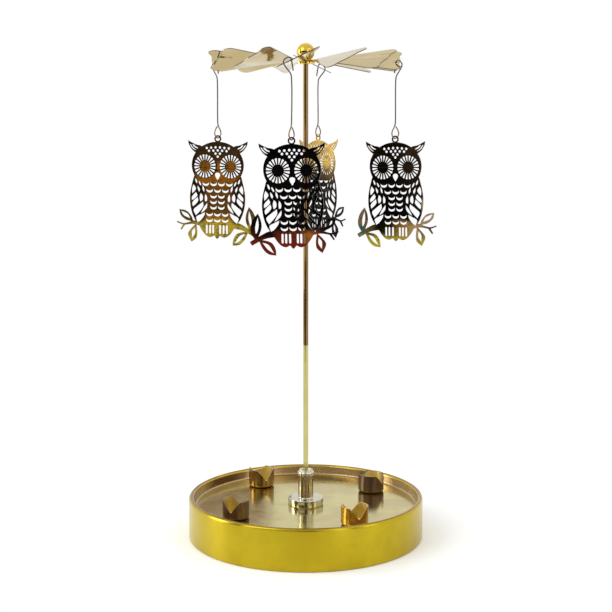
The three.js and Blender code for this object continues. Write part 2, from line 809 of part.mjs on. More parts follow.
// Solid areas and cut-outs of the owl and its branch, as outlines in shares
function owlAreas() {
  const head = ellipse(0, headCentreShare, headWidthShare, headHeightShare, headFacets);
  const body = [...bodyShares, ...mirrored(bodyShares).slice(1, -1).reverse()];
  const leaves = leafShares.map(leafOutline);
  return [head, body, ...bothSides(earShares), limbShares, twigShares, ...leaves];
}

function owlCutOuts() {
  const beak = [...beakShares, ...mirrored(beakShares).slice(1, -1).reverse()];
  const dots = dotRowShares.flatMap(([count, y]) => row(count, dotPitchShare,
    (x) => ellipse(x, y, dotShare, dotShare, dotFacets)));
  const crescents = crescentRowShares.flatMap(([count, y]) => row(count, crescentPitchShare,
    (x) => crescent(x, y)));
  return [
    beak, ...dots, ...crescents, ...toeSlots(), ...bothSides(earSlitShares),
    ...eyeSlots().flatMap(bothSides), ...wingCells().flatMap(bothSides), ...leafShares.map(leafSlit),
  ];
}

// Pierced plate that stands upright and faces -Y, with the centre of its ring at the origin
function owlGeometry() {
  const topY = ringOverlap - ringOuterRadius;
  const placed = (points) => points.map(([x, y]) => [x * plateUnitWidth, topY + y * plateHeight]);
  const cutThickness = plateThickness + 2 * cutOverrun;
  const ring = plate(ellipse(0, 0, ringOuterRadius, ringOuterRadius, ringFacets), plateThickness);
  const hole = plate(ellipse(0, 0, ringHoleDiameter / 2, ringHoleDiameter / 2, ringFacets), cutThickness);
  const areas = owlAreas().map((points) => solidOf(plate(placed(points), plateThickness)));
  const cuts = owlCutOuts().map((points) => solidOf(plate(placed(points), cutThickness)));
  const whole = wasm.Manifold.union([solidOf(ring), ...areas]);
  const owl = geometryOf(whole.subtract(wasm.Manifold.union([solidOf(hole), ...cuts])));
  const balance = centreOfMass(owl);
  owl.rotateZ(-Math.atan2(balance.x, -balance.y));
  owl.rotateX(Math.PI / 2);
  return owl;
}

function centreOfMass(geometry) {
  const { position } = geometry.attributes;
  const sum = new THREE.Vector3();
  let volume = 0;
  for (let i = 0; i < geometry.index.count; i += 3) {
    const [a, b, c] = [0, 1, 2].map((corner) => new THREE.Vector3()
      .fromBufferAttribute(position, geometry.index.getX(i + corner)));
    const part = a.dot(b.clone().cross(c)) / 6;
    volume += part;
    sum.addScaledVector(a.add(b).add(c), part / 4);
  }
  return sum.divideScalar(volume);
}

// Hanger wires and owls, each in a frame that points outwards at its blade's hole
function buildPendants() {
  const owl = owlGeometry();
  const ringDrop = hangerDrop + ringHoleDiameter / 2 - wireRadius - ringSeatGap;
  for (let i = 0; i < hangerCount; i++) {
    const bearing = (360 * i) / hangerCount;
    const place = new THREE.Vector3(hangerRadius, 0, hangerZ).applyAxisAngle(
      new THREE.Vector3(0, 0, 1),
      degrees(bearing),
    );
    const wire = wireGeometry(owlTurns[i] - bearing + ringLoopTurns[i]);
    addPiece(`hanger_wire_${i + 1}`, wire, wireSteel(), place, bearing);
    const owlPlace = place.clone().setZ(hangerZ - ringDrop);
    addPiece(`owl_${i + 1}`, owl, heatTintedGold(), owlPlace, owlTurns[i]);
  }
}

buildDrum();
buildCups();
buildFoot();
buildCollar();
buildFootScrew();
buildRods();
buildHub();
buildWheel();
buildPendants();

export default group;
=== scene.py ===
"""Dresses the candle carousel: stamped tray, turned foot and hub, twisted blades, wires and owls.

Each class shapes its pieces in millimetres and fit_on() brings them to metres, in the place of their CAD nodes.
"""

import logging
import math
from collections.abc import Iterator, Sequence
from contextlib import contextmanager
from dataclasses import dataclass, replace
from enum import Enum

import bpy
from bpy.types import Material, Node, NodeSocket, NodeTree, Object, ShaderNodeTree
from mathutils import Matrix, Vector


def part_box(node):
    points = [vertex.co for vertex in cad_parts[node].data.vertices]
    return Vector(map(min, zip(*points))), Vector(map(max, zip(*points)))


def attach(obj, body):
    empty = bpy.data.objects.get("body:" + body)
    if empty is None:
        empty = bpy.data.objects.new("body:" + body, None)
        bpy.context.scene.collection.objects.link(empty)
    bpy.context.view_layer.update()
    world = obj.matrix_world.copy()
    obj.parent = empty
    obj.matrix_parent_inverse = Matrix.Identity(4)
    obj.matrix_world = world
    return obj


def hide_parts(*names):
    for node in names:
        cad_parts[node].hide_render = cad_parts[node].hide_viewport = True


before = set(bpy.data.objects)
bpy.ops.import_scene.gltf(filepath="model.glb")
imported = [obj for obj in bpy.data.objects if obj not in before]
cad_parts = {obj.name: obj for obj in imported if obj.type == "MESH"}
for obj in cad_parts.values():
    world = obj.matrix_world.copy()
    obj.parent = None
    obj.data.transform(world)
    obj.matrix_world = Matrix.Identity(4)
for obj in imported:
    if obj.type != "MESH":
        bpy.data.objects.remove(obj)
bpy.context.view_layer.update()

log = logging.getLogger("carousel")

Point = tuple[float, float]
Outline = list[Point]
Source = NodeSocket | Vector | tuple | float

MILLIMETRE = 0.001

# Smallest radius of a turned ring, and the reach over which doubled corners are merged, in millimetres
AXIS_RADIUS = 0.0001
WELD = 0.001

# Places that several pieces share, in millimetres, and the owls' turns about the upright in degrees
TRAY_FLOOR = 17.2
RIVET_HOLE = 1.1
HANGER_RING = 48.2
OWL_TURNS = (-17, -42, 174, 0)

# Marks on the metal: how many to a metre and how deep in metres, how wide, and the levels they fade in between
CLOUD_SCALE = 45
LINE_SCALE = 2200
SCRATCH_WIDTH = 0.006
PATCH_LEVELS = {"Low": 0.35, "High": 0.75}
MOTTLE_SPOTS = {"Scale": 420, "Low": 0.48, "High": 0.62}
PLATE_WAVES = (70, 0.00012)
PLATE_LINES = (2600, 0.0000015)

# Wear of the worked metals and of the owl plates: scale of the scratches, scale and share of the rubbed patches
METAL_WEAR = (150, 160, 0.5)
PLATE_WEAR = (170, 130, 0.6)


class Grain(Enum):
    """Way in which the fine lines of a worked metal run, as a stretch of its coordinates."""

    TURNED = (0.06, 0.06, 1.0)
    DRAWN = (1.0, 1.0, 0.04)
    STAMPED = (1.0, 1.0, 1.0)


class Join(Enum):
    """How one solid works on another."""

    ADD = "UNION"
    CUT = "DIFFERENCE"


# Outlines


def polar(radius: float, degrees: float) -> Point:
    """Point at a distance and a bearing from the origin."""
    angle = math.radians(degrees)
    return radius * math.cos(angle), radius * math.sin(angle)


def arc(centre: Point, radius: float, start: float, end: float, steps: int) -> Outline:
    """Points along an arc, with both of its ends.

    Args:
        centre: Centre of the arc.
        radius: Radius of the arc.
        start: First angle in degrees.
        end: Last angle in degrees.
        steps: Number of straight steps.

    Returns:
        The points in order.
    """
    reaches = [polar(radius, start + (end - start) * i / steps) for i in range(steps + 1)]
    return [(centre[0] + x, centre[1] + y) for x, y in reaches]


def ellipse(centre: Point, radius_x: float, radius_y: float, count: int) -> Outline:
    """Closed outline of an ellipse with that many points."""
    angles = [2 * math.pi * i / count for i in range(count)]
    return [(centre[0] + radius_x * math.cos(a), centre[1] + radius_y * math.sin(a)) for a in angles]


def mirrored(points: Sequence[Point]) -> Outline:
    """The same outline on the other side of the upright axis."""
    return [(-x, y) for x, y in reversed(points)]


def smoothed(points: Sequence[Point], corners: Sequence[int] = (), steps: int = 5) -> Outline:
    """Rounds a closed outline into a smooth curve through its points.

    Args:
        points: Points that the curve passes through.
        corners: Indices of the points that stay sharp.
        steps: Straight steps between two points.

    Returns:
        The outline with its added points.
    """
    count = len(points)
    curve = []
    for i in range(count):
        start, end = Vector(points[i]), Vector(points[(i + 1) % count])
        before = 2 * start - end if i in corners else Vector(points[i - 1])
        after = 2 * end - start if (i + 1) % count in corners else Vector(points[(i + 2) % count])
        for step in range(steps):
            curve.append(tuple(spline_point(before, start, end, after, step / steps)))
    return curve


def narrowed(points: Sequence[Point], distance: float) -> Outline:
    """Moves the points of a closed outline inwards by a distance."""
    middle = sum((Vector(point) for point in points), Vector((0, 0))) / len(points)
    inner = []
    for i, point in enumerate(points):
        along = Vector(points[(i + 1) % len(points)]) - Vector(points[i - 1])
        inwards = Vector((-along.y, along.x)).normalized() * distance
        if inwards.dot(middle - Vector(point)) < 0:
            inwards.negate()
        inner.append(tuple(Vector(point) + inwards))
    return inner


def spline_point(before: Vector, start: Vector, end: Vector, after: Vector, share: float) -> Vector:
    """Point between start and end on the smooth curve through all four.

    Args:
        before: Point before the start.
        start: Start of this stretch.
        end: End of this stretch.
        after: Point after the end.
        share: How far along the stretch, from 0 to 1.

    Returns:
        The point on the curve.
    """
    knots = [0.0]
    for a, b in ((before, start), (start, end), (end, after)):
        knots.append(knots[-1] + max((b - a).length, 1e-6) ** 0.5)
    at = knots[1] + (knots[2] - knots[1]) * share
    level = [before, start, end, after]
    for width in (1, 2, 3):
        level = [
            level[i].lerp(level[i + 1], (at - low) / (high - low))
            for i, (low, high) in enumerate(spans(knots, width))
        ]
    return level[0]


def spans(knots: Sequence[float], width: int) -> list[Point]:
    """Knot spans that each step of the smooth curve blends over."""
    if width == 1:
        return [(knots[0], knots[1]), (knots[1], knots[2]), (knots[2], knots[3])]
    if width == 2:
        return [(knots[0], knots[2]), (knots[1], knots[3])]
    return [(knots[1], knots[2])]


class Bench:
    """Modelling operators that the pieces share. Pieces are shaped in millimetres."""

    @staticmethod
    def pick(*pieces: Object) -> None:
        """Selects these pieces alone and makes the first one active."""
        bpy.ops.object.select_all(action="DESELECT")
        for piece in pieces:
            piece.select_set(True)
        if pieces:
            bpy.context.view_layer.objects.active = pieces[0]

    @staticmethod
    @contextmanager
    def editing(piece: Object) -> Iterator[None]:
        """Opens a piece in edit mode with its whole mesh selected."""
        Bench.pick(piece)
        bpy.ops.object.mode_set(mode="EDIT")
        bpy.ops.mesh.select_all(action="SELECT")
        yield
        bpy.ops.object.mode_set(mode="OBJECT")

    @staticmethod
    def weld(piece: Object) -> None:
        """Merges doubled corners and turns all faces outwards."""
        with Bench.editing(piece):
            bpy.ops.mesh.remove_doubles(threshold=WELD)
            bpy.ops.mesh.normals_make_consistent(inside=False)

    @staticmethod
    def turned(name: str, profile: Sequence[Point], facets: int = 96, closed: bool = False) -> Object:
        """Raises a turned body ring by ring, as on a lathe, about the Z axis.

        Args:
            name: Name of the piece.
            profile: Radius and height of each ring, in order along the section.
            facets: Facets round the axis.
            closed: True where the section is a ring of sheet that ends where it starts.

        Returns:
            The new piece.
        """
        Bench.pick()
        rings = [(max(radius, AXIS_RADIUS), height) for radius, height in profile]
        bpy.ops.mesh.primitive_circle_add(
            vertices=facets,
            radius=rings[0][0],
            location=(0, 0, rings[0][1]),
            fill_type="NOTHING" if closed else "NGON",
        )
        piece = bpy.context.object
        piece.name = name
        extrude = bpy.ops.mesh.extrude_edges_move if closed else bpy.ops.mesh.extrude_region_move
        with Bench.editing(piece):
            for (radius, height), (next_radius, next_height) in zip(rings, rings[1:]):
                extrude()
                growth = next_radius / radius
                bpy.ops.transform.resize(value=(growth, growth, 1), center_override=(0, 0, height))
                bpy.ops.transform.translate(value=(0, 0, next_height - height))
        Bench.weld(piece)
        return piece

    @staticmethod
    def drawn(
        name: str, lines: Sequence[Sequence[Point | Vector]], closed: bool, **settings: str | float | bool
    ) -> Object:
        """Makes a solid from lines that are drawn point by point.

        Args:
            name: Name of the piece.
            lines: Points of each line.
            closed: True where each line ends where it starts.
            settings: How the lines are filled and thickened, as settings of the curve.

        Returns:
            The new piece.
        """
        Bench.pick()
        bpy.ops.curve.primitive_nurbs_path_add()
        piece = bpy.context.object
        piece.name = name
        piece.data.splines.clear()
        for line in lines:
            spline = piece.data.splines.new("POLY")
            spline.points.add(len(line) - 1)
            for corner, place in zip(spline.points, line):
                corner.co = (*Vector(place).to_3d(), 1)
            spline.use_cyclic_u = closed
        for label, setting in settings.items():
            setattr(piece.data, label, setting)
        Bench.pick(piece)
        bpy.ops.object.convert(target="MESH")
        piece = bpy.context.object
        Bench.weld(piece)
        return piece

    @staticmethod
    def sheet(name: str, outlines: Sequence[Outline], thickness: float) -> Object:
        """Cuts flat sheet in the XY plane, centred on its thickness.

        Args:
            name: Name of the piece.
            outlines: Closed outlines. One inside another is a hole.
            thickness: Thickness of the sheet.

        Returns:
            The new piece.
        """
        return Bench.drawn(name, outlines, True, dimensions="2D", fill_mode="BOTH", extrude=thickness / 2)

    @staticmethod
    def wire(name: str, path: Sequence[Vector], radius: float) -> Object:
        """Round wire along a smooth path, with closed ends.

        Args:
            name: Name of the piece.
            path: Points that the wire's middle passes through.
            radius: Radius of the wire.

        Returns:
            The new piece.
        """
        points = []
        steps = 6
        ends = [2 * path[0] - path[1], *path, 2 * path[-1] - path[-2]]
        for before, start, end, after in zip(ends, ends[1:], ends[2:], ends[3:]):
            points += [spline_point(before, start, end, after, i / steps) for i in range(steps)]
        points.append(path[-1])
        return Bench.drawn(
            name, [points], False, dimensions="3D", bevel_depth=radius, bevel_resolution=4, use_fill_caps=True
        )

    @staticmethod
    def combine(piece: Object, others: Sequence[Object], join: Join) -> None:
        """Adds other solids to a piece, or cuts them out of it, and uses them up."""
        for other in others:
            modifier = piece.modifiers.new("combine", "BOOLEAN")
            modifier.object = other
            modifier.operation = join.value
            modifier.solver = "MANIFOLD"
            Bench.pick(piece)
            bpy.ops.object.modifier_apply(modifier=modifier.name)
            bpy.data.objects.remove(other)

    @staticmethod
    def joined(pieces: Sequence[Object]) -> Object:
        """Makes one mesh of several separate solids."""
        Bench.pick(*pieces)
        if len(pieces) > 1:
            bpy.ops.object.join()
        return bpy.context.object

    @staticmethod
    def copied(piece: Object, name: str) -> Object:
        """A copy of a piece with its own mesh."""
        Bench.pick(piece)
        bpy.ops.object.duplicate(linked=False)
        copy = bpy.context.object
        copy.name = name
        return copy

    @staticmethod
    def bevel(piece: Object, width: float, segments: int, angle: float) -> None:
        """Breaks the edges of a piece that are sharper than an angle in degrees."""
        modifier = piece.modifiers.new("edges", "BEVEL")
        modifier.width = width
        modifier.segments = segments
        modifier.limit_method = "ANGLE"
        modifier.angle_limit = math.radians(angle)
        Bench.pick(piece)
        bpy.ops.object.modifier_apply(modifier=modifier.name)

    @staticmethod
    def placed(piece: Object, turn: Matrix) -> Object:
        """Moves a piece by a matrix in millimetres and keeps the place in its mesh."""
        piece.matrix_world = turn @ piece.matrix_world
        Bench.pick(piece)
        bpy.ops.object.transform_apply(location=True, rotation=True, scale=True)
        return piece


def turn_about_z(degrees: float) -> Matrix:
    """Turn about the upright axis."""
    return Matrix.Rotation(math.radians(degrees), 4, "Z")


def tip_about_x(degrees: float) -> Matrix:
    """Turn about the X axis."""
    return Matrix.Rotation(math.radians(degrees), 4, "X")


def fit_on(
    piece: Object, finishes: Sequence[Material], body: str, slot: str, *nodes: str, smooth_angle: float = 32
) -> None:
    """Brings a piece to metres, shades and dresses it, and puts it in the place of its CAD nodes.

    Args:
        piece: The piece, in millimetres and at its place on the carousel.
        finishes: Its materials, in the order of its faces' indices.
        body: Name of the body that it moves with.
        slot: Name of its material slot. Not used.
        nodes: Names of the CAD nodes that it stands for.
        smooth_angle: Edges flatter than this many degrees look smooth.
    """
    Bench.placed(piece, Matrix.Scale(MILLIMETRE, 4))
    bpy.ops.object.shade_smooth_by_angle(angle=math.radians(smooth_angle))
    indices = [face.material_index for face in piece.data.polygons]
    piece.data.materials.clear()
    for finish in finishes:
        piece.data.materials.append(finish)
    piece.data.polygons.foreach_set("material_index", indices)
    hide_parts(*nodes)
    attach(piece, body)
    log.info("%s: %d faces, for %s", piece.name, len(piece.data.polygons), ", ".join(nodes))


# Finishes


def tone(code: str) -> tuple[float, float, float, float]:
    """Linear colour of a six-digit screen colour."""
    shares = [int(code[i:i + 2], 16) / 255 for i in (0, 2, 4)]
    linear = [s / 12.92 if s <= 0.04045 else ((s + 0.055) / 1.055) ** 2.4 for s in shares]
    return (linear[0], linear[1], linear[2], 1.0)


@dataclass(frozen=True)
class MetalFinish:
    """A worked metal: its colour, how it clouds and wears, and its grain.

    Attributes:
        name: Name of the material.
        colour: Screen colour of the clean metal.
        cloud: Screen colour of its clouded patches.
        cloud_amount: Most that the patches cover, from 0 to 1.
        roughness: Roughness of the clean metal.
        worn_roughness: Roughness where it is scratched or rubbed.
        grain: Way of its fine lines.
        grain_depth: Depth of the fine lines in metres.
        ripple_depth: Depth of the slow waves in the sheet in metres.
        ripple_scale: Waves per metre, roughly.
        brushed: How far lines turned about the upright stretch a highlight, from 0 to 1.
    """

    name: str
    colour: str
    cloud: str
    cloud_amount: float
    roughness: float
    worn_roughness: float
    grain: Grain = Grain.STAMPED
    grain_depth: float = 0.000002
    ripple_depth: float = 0.0
    ripple_scale: float = 60.0
    brushed: float = 0.0


@dataclass(frozen=True)
class TintedFinish:
    """Polished sheet whose colour runs down the plate, as heat tints do.

    Attributes:
        name: Name of the material.
        stops: Height shares from the bottom up, each with its screen colour.
        branch: Shares along the branch from limb to twig, each with its screen colour.
        branch_top: Height share under which the branch's colours show.
        rim: Screen colour towards the plate's sides, which reaches further in below the head.
        rim_start: Share of the half width at which the rim's colour starts on the head.
        leaf: Screen colour of the two upper leaves.
        foot: Screen colour of the tail and the lower leaves.
        foot_top: Height share under which the foot's colour shows.
        eye_ring: Screen colour round the pupils.
        mottle: Screen colour of the small patches.
        mottle_amount: Most that the patches cover, from 0 to 1.
        roughness: Roughness of the polished face.
        worn_roughness: Roughness where it is scratched or rubbed.
    """

    name: str
    stops: tuple[tuple[float, str], ...]
    branch: tuple[tuple[float, str], ...] = ()
    branch_top: float = 0.24
    rim: str = ""
    rim_start: float = 0.46
    leaf: str = ""
    foot: str = ""
    foot_top: float = 0.11
    eye_ring: str = ""
    mottle: str = "15100c"
    mottle_amount: float = 0.25
    roughness: float = 0.14
    worn_roughness: float = 0.3


@dataclass(frozen=True)
class TintLayout:
    """Where the tints of an owl plate start and end, in shares of its height and of its half width.

    Attributes:
        half_width: Half width of the plate over its leaves in metres.
        eye: Middle of an eye from the ring's middle, across and up in metres.
        pupil_edge: Distances in metres from the eye's middle over which its ring fades in.
        eye_edge: Distances over which it fades out.
        neck: Heights over which the rim's colour comes to reach further in.
        rim_growth: How much further it reaches.
        rim_fade: Width of the rim's soft edge.
        leaf_side: Shares of the half width over which the leaves start.
        leaf_top: Heights over which their colour ends above.
        leaf_foot: Heights over which it ends below.
        branch_fade: Height of half the branch's soft upper edge.
        foot_fade: Height of half the foot's soft upper edge.
    """

    half_width: float = 0.0232
    eye: Point = (0.0073, -0.01493)
    pupil_edge: Point = (0.0027, 0.0037)
    eye_edge: Point = (0.0068, 0.006)
    neck: Point = (0.62, 0.54)
    rim_growth: float = 0.2
    rim_fade: float = 0.16
    leaf_side: Point = (0.66, 0.72)
    leaf_top: Point = (0.48, 0.42)
    leaf_foot: Point = (0.18, 0.22)
    branch_fade: float = 0.03
    foot_fade: float = 0.04


class Wiring:
    """Places the nodes of one shader tree and wires them."""

    def __init__(self, tree: NodeTree) -> None:
        """Takes the tree to work in."""
        self.tree = tree

    def feed(self, node: Node, sources: dict[str | int, Source]) -> Node:
        """Wires a node's inputs to their sources, or sets them where the source is a plain value."""
        for label, source in sources.items():
            if isinstance(source, NodeSocket):
                self.tree.links.new(source, node.inputs[label])
            else:
                node.inputs[label].default_value = source
        return node

    def node(self, kind: str, sources: dict[str | int, Source], **settings: str | bool | NodeTree) -> Node:
        """Places a node.

        Args:
            kind: Kind of the node, without the ShaderNode before it.
            sources: What feeds its inputs, by their names or numbers.
            settings: Its own settings.

        Returns:
            The node.
        """
        node = self.tree.nodes.new(f"ShaderNode{kind}")
        for label, setting in settings.items():
            setattr(node, label, setting)
        return self.feed(node, sources)

    def math(self, operation: str, *sources: Source) -> NodeSocket:
        """Result of an operation on values."""
        return self.node("Math", dict(enumerate(sources)), operation=operation).outputs["Value"]

    def vector(self, operation: str, output: str, *sources: Source) -> NodeSocket:
        """Result of an operation on vectors, from the output of that name."""
        return self.node("VectorMath", dict(enumerate(sources)), operation=operation).outputs[output]

    def noise(self, **sources: Source) -> NodeSocket:
        """Level of a soft noise."""
        return self.node("TexNoise", sources).outputs["Fac"]

    def level(self, value: NodeSocket, low: Source, high: Source) -> NodeSocket:
        """A 0 to 1 value brought to a low and a high level."""
        return self.node("MapRange", {"Value": value, "To Min": low, "To Max": high}).outputs["Result"]

    def fade(self, value: NodeSocket, start: Source, end: Source, top: Source = 1) -> NodeSocket:
        """Smooth rise from 0 to the top as a value goes from the start to the end."""
        sources = {"Value": value, "From Min": start, "From Max": end, "To Max": top}
        return self.node("MapRange", sources, interpolation_type="SMOOTHSTEP").outputs["Result"]

    def blend(self, mask: NodeSocket, first: Source, second: Source) -> NodeSocket:
        """Colour that goes from the first to the second as the mask rises."""
        mix = self.node("Mix", {}, data_type="RGBA")
        colours = [i for i, socket in enumerate(mix.inputs) if socket.type == "RGBA"]
        self.feed(mix, dict(zip(("Factor", *colours), (mask, first, second))))
        return next(socket for socket in mix.outputs if socket.type == "RGBA")

    def ramp(self, share: NodeSocket, stops: Sequence[tuple[float, str]]) -> NodeSocket:
        """Colours that follow each other along a share."""
        node = self.node("ValToRGB", {"Fac": share})
        elements = node.color_ramp.elements
        while len(elements) < len(stops):
            elements.new(1)
        for element, (place, code) in zip(elements, stops):
            element.position = place
            element.color = tone(code)
        return node.outputs["Color"]


class EffectGroup(Wiring):
    """Shader group of one surface effect."""

    def __init__(self, name: str, **inputs: float | None) -> None:
        """Starts the group with a vector input and others by their defaults, which are None for vectors."""
        super().__init__(bpy.data.node_groups.new(name, "ShaderNodeTree"))
        for label, default in {"Vector": None, **inputs}.items():
            kind = "NodeSocketVector" if default is None else "NodeSocketFloat"
            socket = self.tree.interface.new_socket(label, in_out="INPUT", socket_type=kind)
            if default is not None:
                socket.default_value = default
        self.start = self.tree.nodes.new("NodeGroupInput")

    def given(self, *labels: str) -> list[NodeSocket]:
        """What the group is given, by the names of its inputs."""
        return [self.start.outputs[label] for label in labels]

    def gives(self, output: str, source: NodeSocket) -> ShaderNodeTree:
        """Closes the group with its one output value."""
        self.tree.interface.new_socket(output, in_out="OUTPUT", socket_type="NodeSocketFloat")
        self.feed(self.tree.nodes.new("NodeGroupOutput"), {output: source})
        return self.tree


class Effects:
    """Shader groups for the surface effects that more than one finish uses."""

    def __init__(self) -> None:
        """Builds each group once."""
        self.lines = self._lines()
        self.scratches = self._scratches()
        self.clouds = self._clouds()
        self.along = self._along()

    @staticmethod
    def _lines() -> ShaderNodeTree:
        """Fine lines that follow a stretch of the coordinates."""
        group = EffectGroup("fine_lines", Stretch=None, Density=2500)
        place, stretch, density = group.given("Vector", "Stretch", "Density")
        stretched = group.vector("MULTIPLY", "Vector", place, stretch)
        return group.gives("Height", group.noise(Vector=stretched, Scale=density, Detail=3))

    @staticmethod
    def _scratches() -> ShaderNodeTree:
        """Hairline scratches, as the thin contour lines of a warped noise."""
        group = EffectGroup("hairline_scratches", Scale=120, Width=0.008)
        place, scale, width = group.given("Vector", "Scale", "Width")
        noise = group.noise(Vector=place, Scale=scale, Detail=2, Distortion=0.6)
        from_line = group.math("ABSOLUTE", group.math("SUBTRACT", noise, 0.5))
        sources = {"Value": from_line, "From Max": width, "To Min": 1, "To Max": 0}
        return group.gives("Mask", group.node("MapRange", sources).outputs["Result"])

    @staticmethod
    def _clouds() -> ShaderNodeTree:
        """Soft patches, from a low to a high level of a slow noise."""
        group = EffectGroup("soft_clouds", Scale=40, Low=0.4, High=0.65, Amount=1)
        place, scale, *levels = group.given("Vector", "Scale", "Low", "High", "Amount")
        noise = group.noise(Vector=place, Scale=scale, Detail=4, Roughness=0.6)
        return group.gives("Mask", group.fade(noise, *levels))

    @staticmethod
    def _along() -> ShaderNodeTree:
        """Share of the way from one value to another, with a noisy edge."""
        group = EffectGroup("share_along", Value=0, From=0, To=1, Wander=0.1, Scale=60)
        place, value, low, high, wander, scale = group.given("Vector", "Value", "From", "To", "Wander", "Scale")
        share = group.node("MapRange", {"Value": value, "From Min": low, "From Max": high}, clamp=False)
        noise = group.noise(Vector=place, Scale=scale, Detail=2)
        drift = group.level(noise, group.math("MULTIPLY", wander, -1), wander)
        total = group.node("Math", {0: share.outputs["Result"], 1: drift}, use_clamp=True)
        return group.gives("Share", total.outputs["Value"])


def new_material(name: str) -> tuple[Material, Wiring, Node]:
    """New material with the wiring of its tree and its shader."""
    material = bpy.data.materials.new(name)
    material.use_nodes = True
    return material, Wiring(material.node_tree), material.node_tree.nodes["Principled BSDF"]


class Coat(Wiring):
    """Material of a metal in the making, with the steps that all metals share."""

    def __init__(self, name: str, effects: Effects) -> None:
        """Starts a plain metal."""
        self.material, wiring, self.shader = new_material(name)
        super().__init__(wiring.tree)
        self.effects = effects
        self.place = self.node("TexCoord", {}).outputs["Object"]
        self.dress({"Metallic": 1})

    def dress(self, sources: dict[str | int, Source]) -> None:
        """Feeds the shader."""
        self.feed(self.shader, sources)

    def effect(self, group: ShaderNodeTree, **sources: Source) -> NodeSocket:
        """Result of an effect group that these sources feed."""
        return self.node("Group", {"Vector": self.place, **sources}, node_tree=group).outputs[0]

    def waves(self, grain: Grain, scale: float, depth: float) -> NodeSocket:
        """Height of fine lines or slow waves.

        Args:
            grain: Way in which they run.
            scale: How many there are to a metre, roughly.
            depth: Their depth in metres.

        Returns:
            The height in metres.
        """
        waves = self.effect(self.effects.lines, Stretch=grain.value, Density=scale)
        return self.level(waves, 0, depth)

    def wear(self, scratch_scale: float, patch_scale: float, amount: float, *roughness: float) -> NodeSocket:
        """Roughens the metal by hairline scratches and rubbed patches.

        Args:
            scratch_scale: Scale of the scratches.
            patch_scale: Scale of the patches.
            amount: Most that the patches count, from 0 to 1.
            roughness: Roughness of the clean and of the worn metal.

        Returns:
            The scratches' mask.
        """
        scratches = self.effect(self.effects.scratches, Scale=scratch_scale, Width=SCRATCH_WIDTH)
        patches = self.effect(self.effects.clouds, Scale=patch_scale, Amount=amount, **PATCH_LEVELS)
        self.dress({"Roughness": self.level(self.math("ADD", scratches, patches), *roughness)})
        return scratches

    def raised(self, *heights: NodeSocket) -> None:
        """Raises the surface by the sum of some heights in metres."""
        height = heights[0]
        for other in heights[1:]:
            height = self.math("ADD", height, other)
        self.dress({"Normal": self.node("Bump", {"Height": height, "Distance": 1}).outputs["Normal"]})

    def brushed(self, amount: float) -> None:
        """Stretches the highlights of a turned wall up and down, across its fine lines."""
        around = self.vector("CROSS_PRODUCT", "Vector", (0, 0, 1), self.place)
        quarter_turn = 0.25
        self.dress({"Tangent": around, "Anisotropic": amount, "Anisotropic Rotation": quarter_turn})


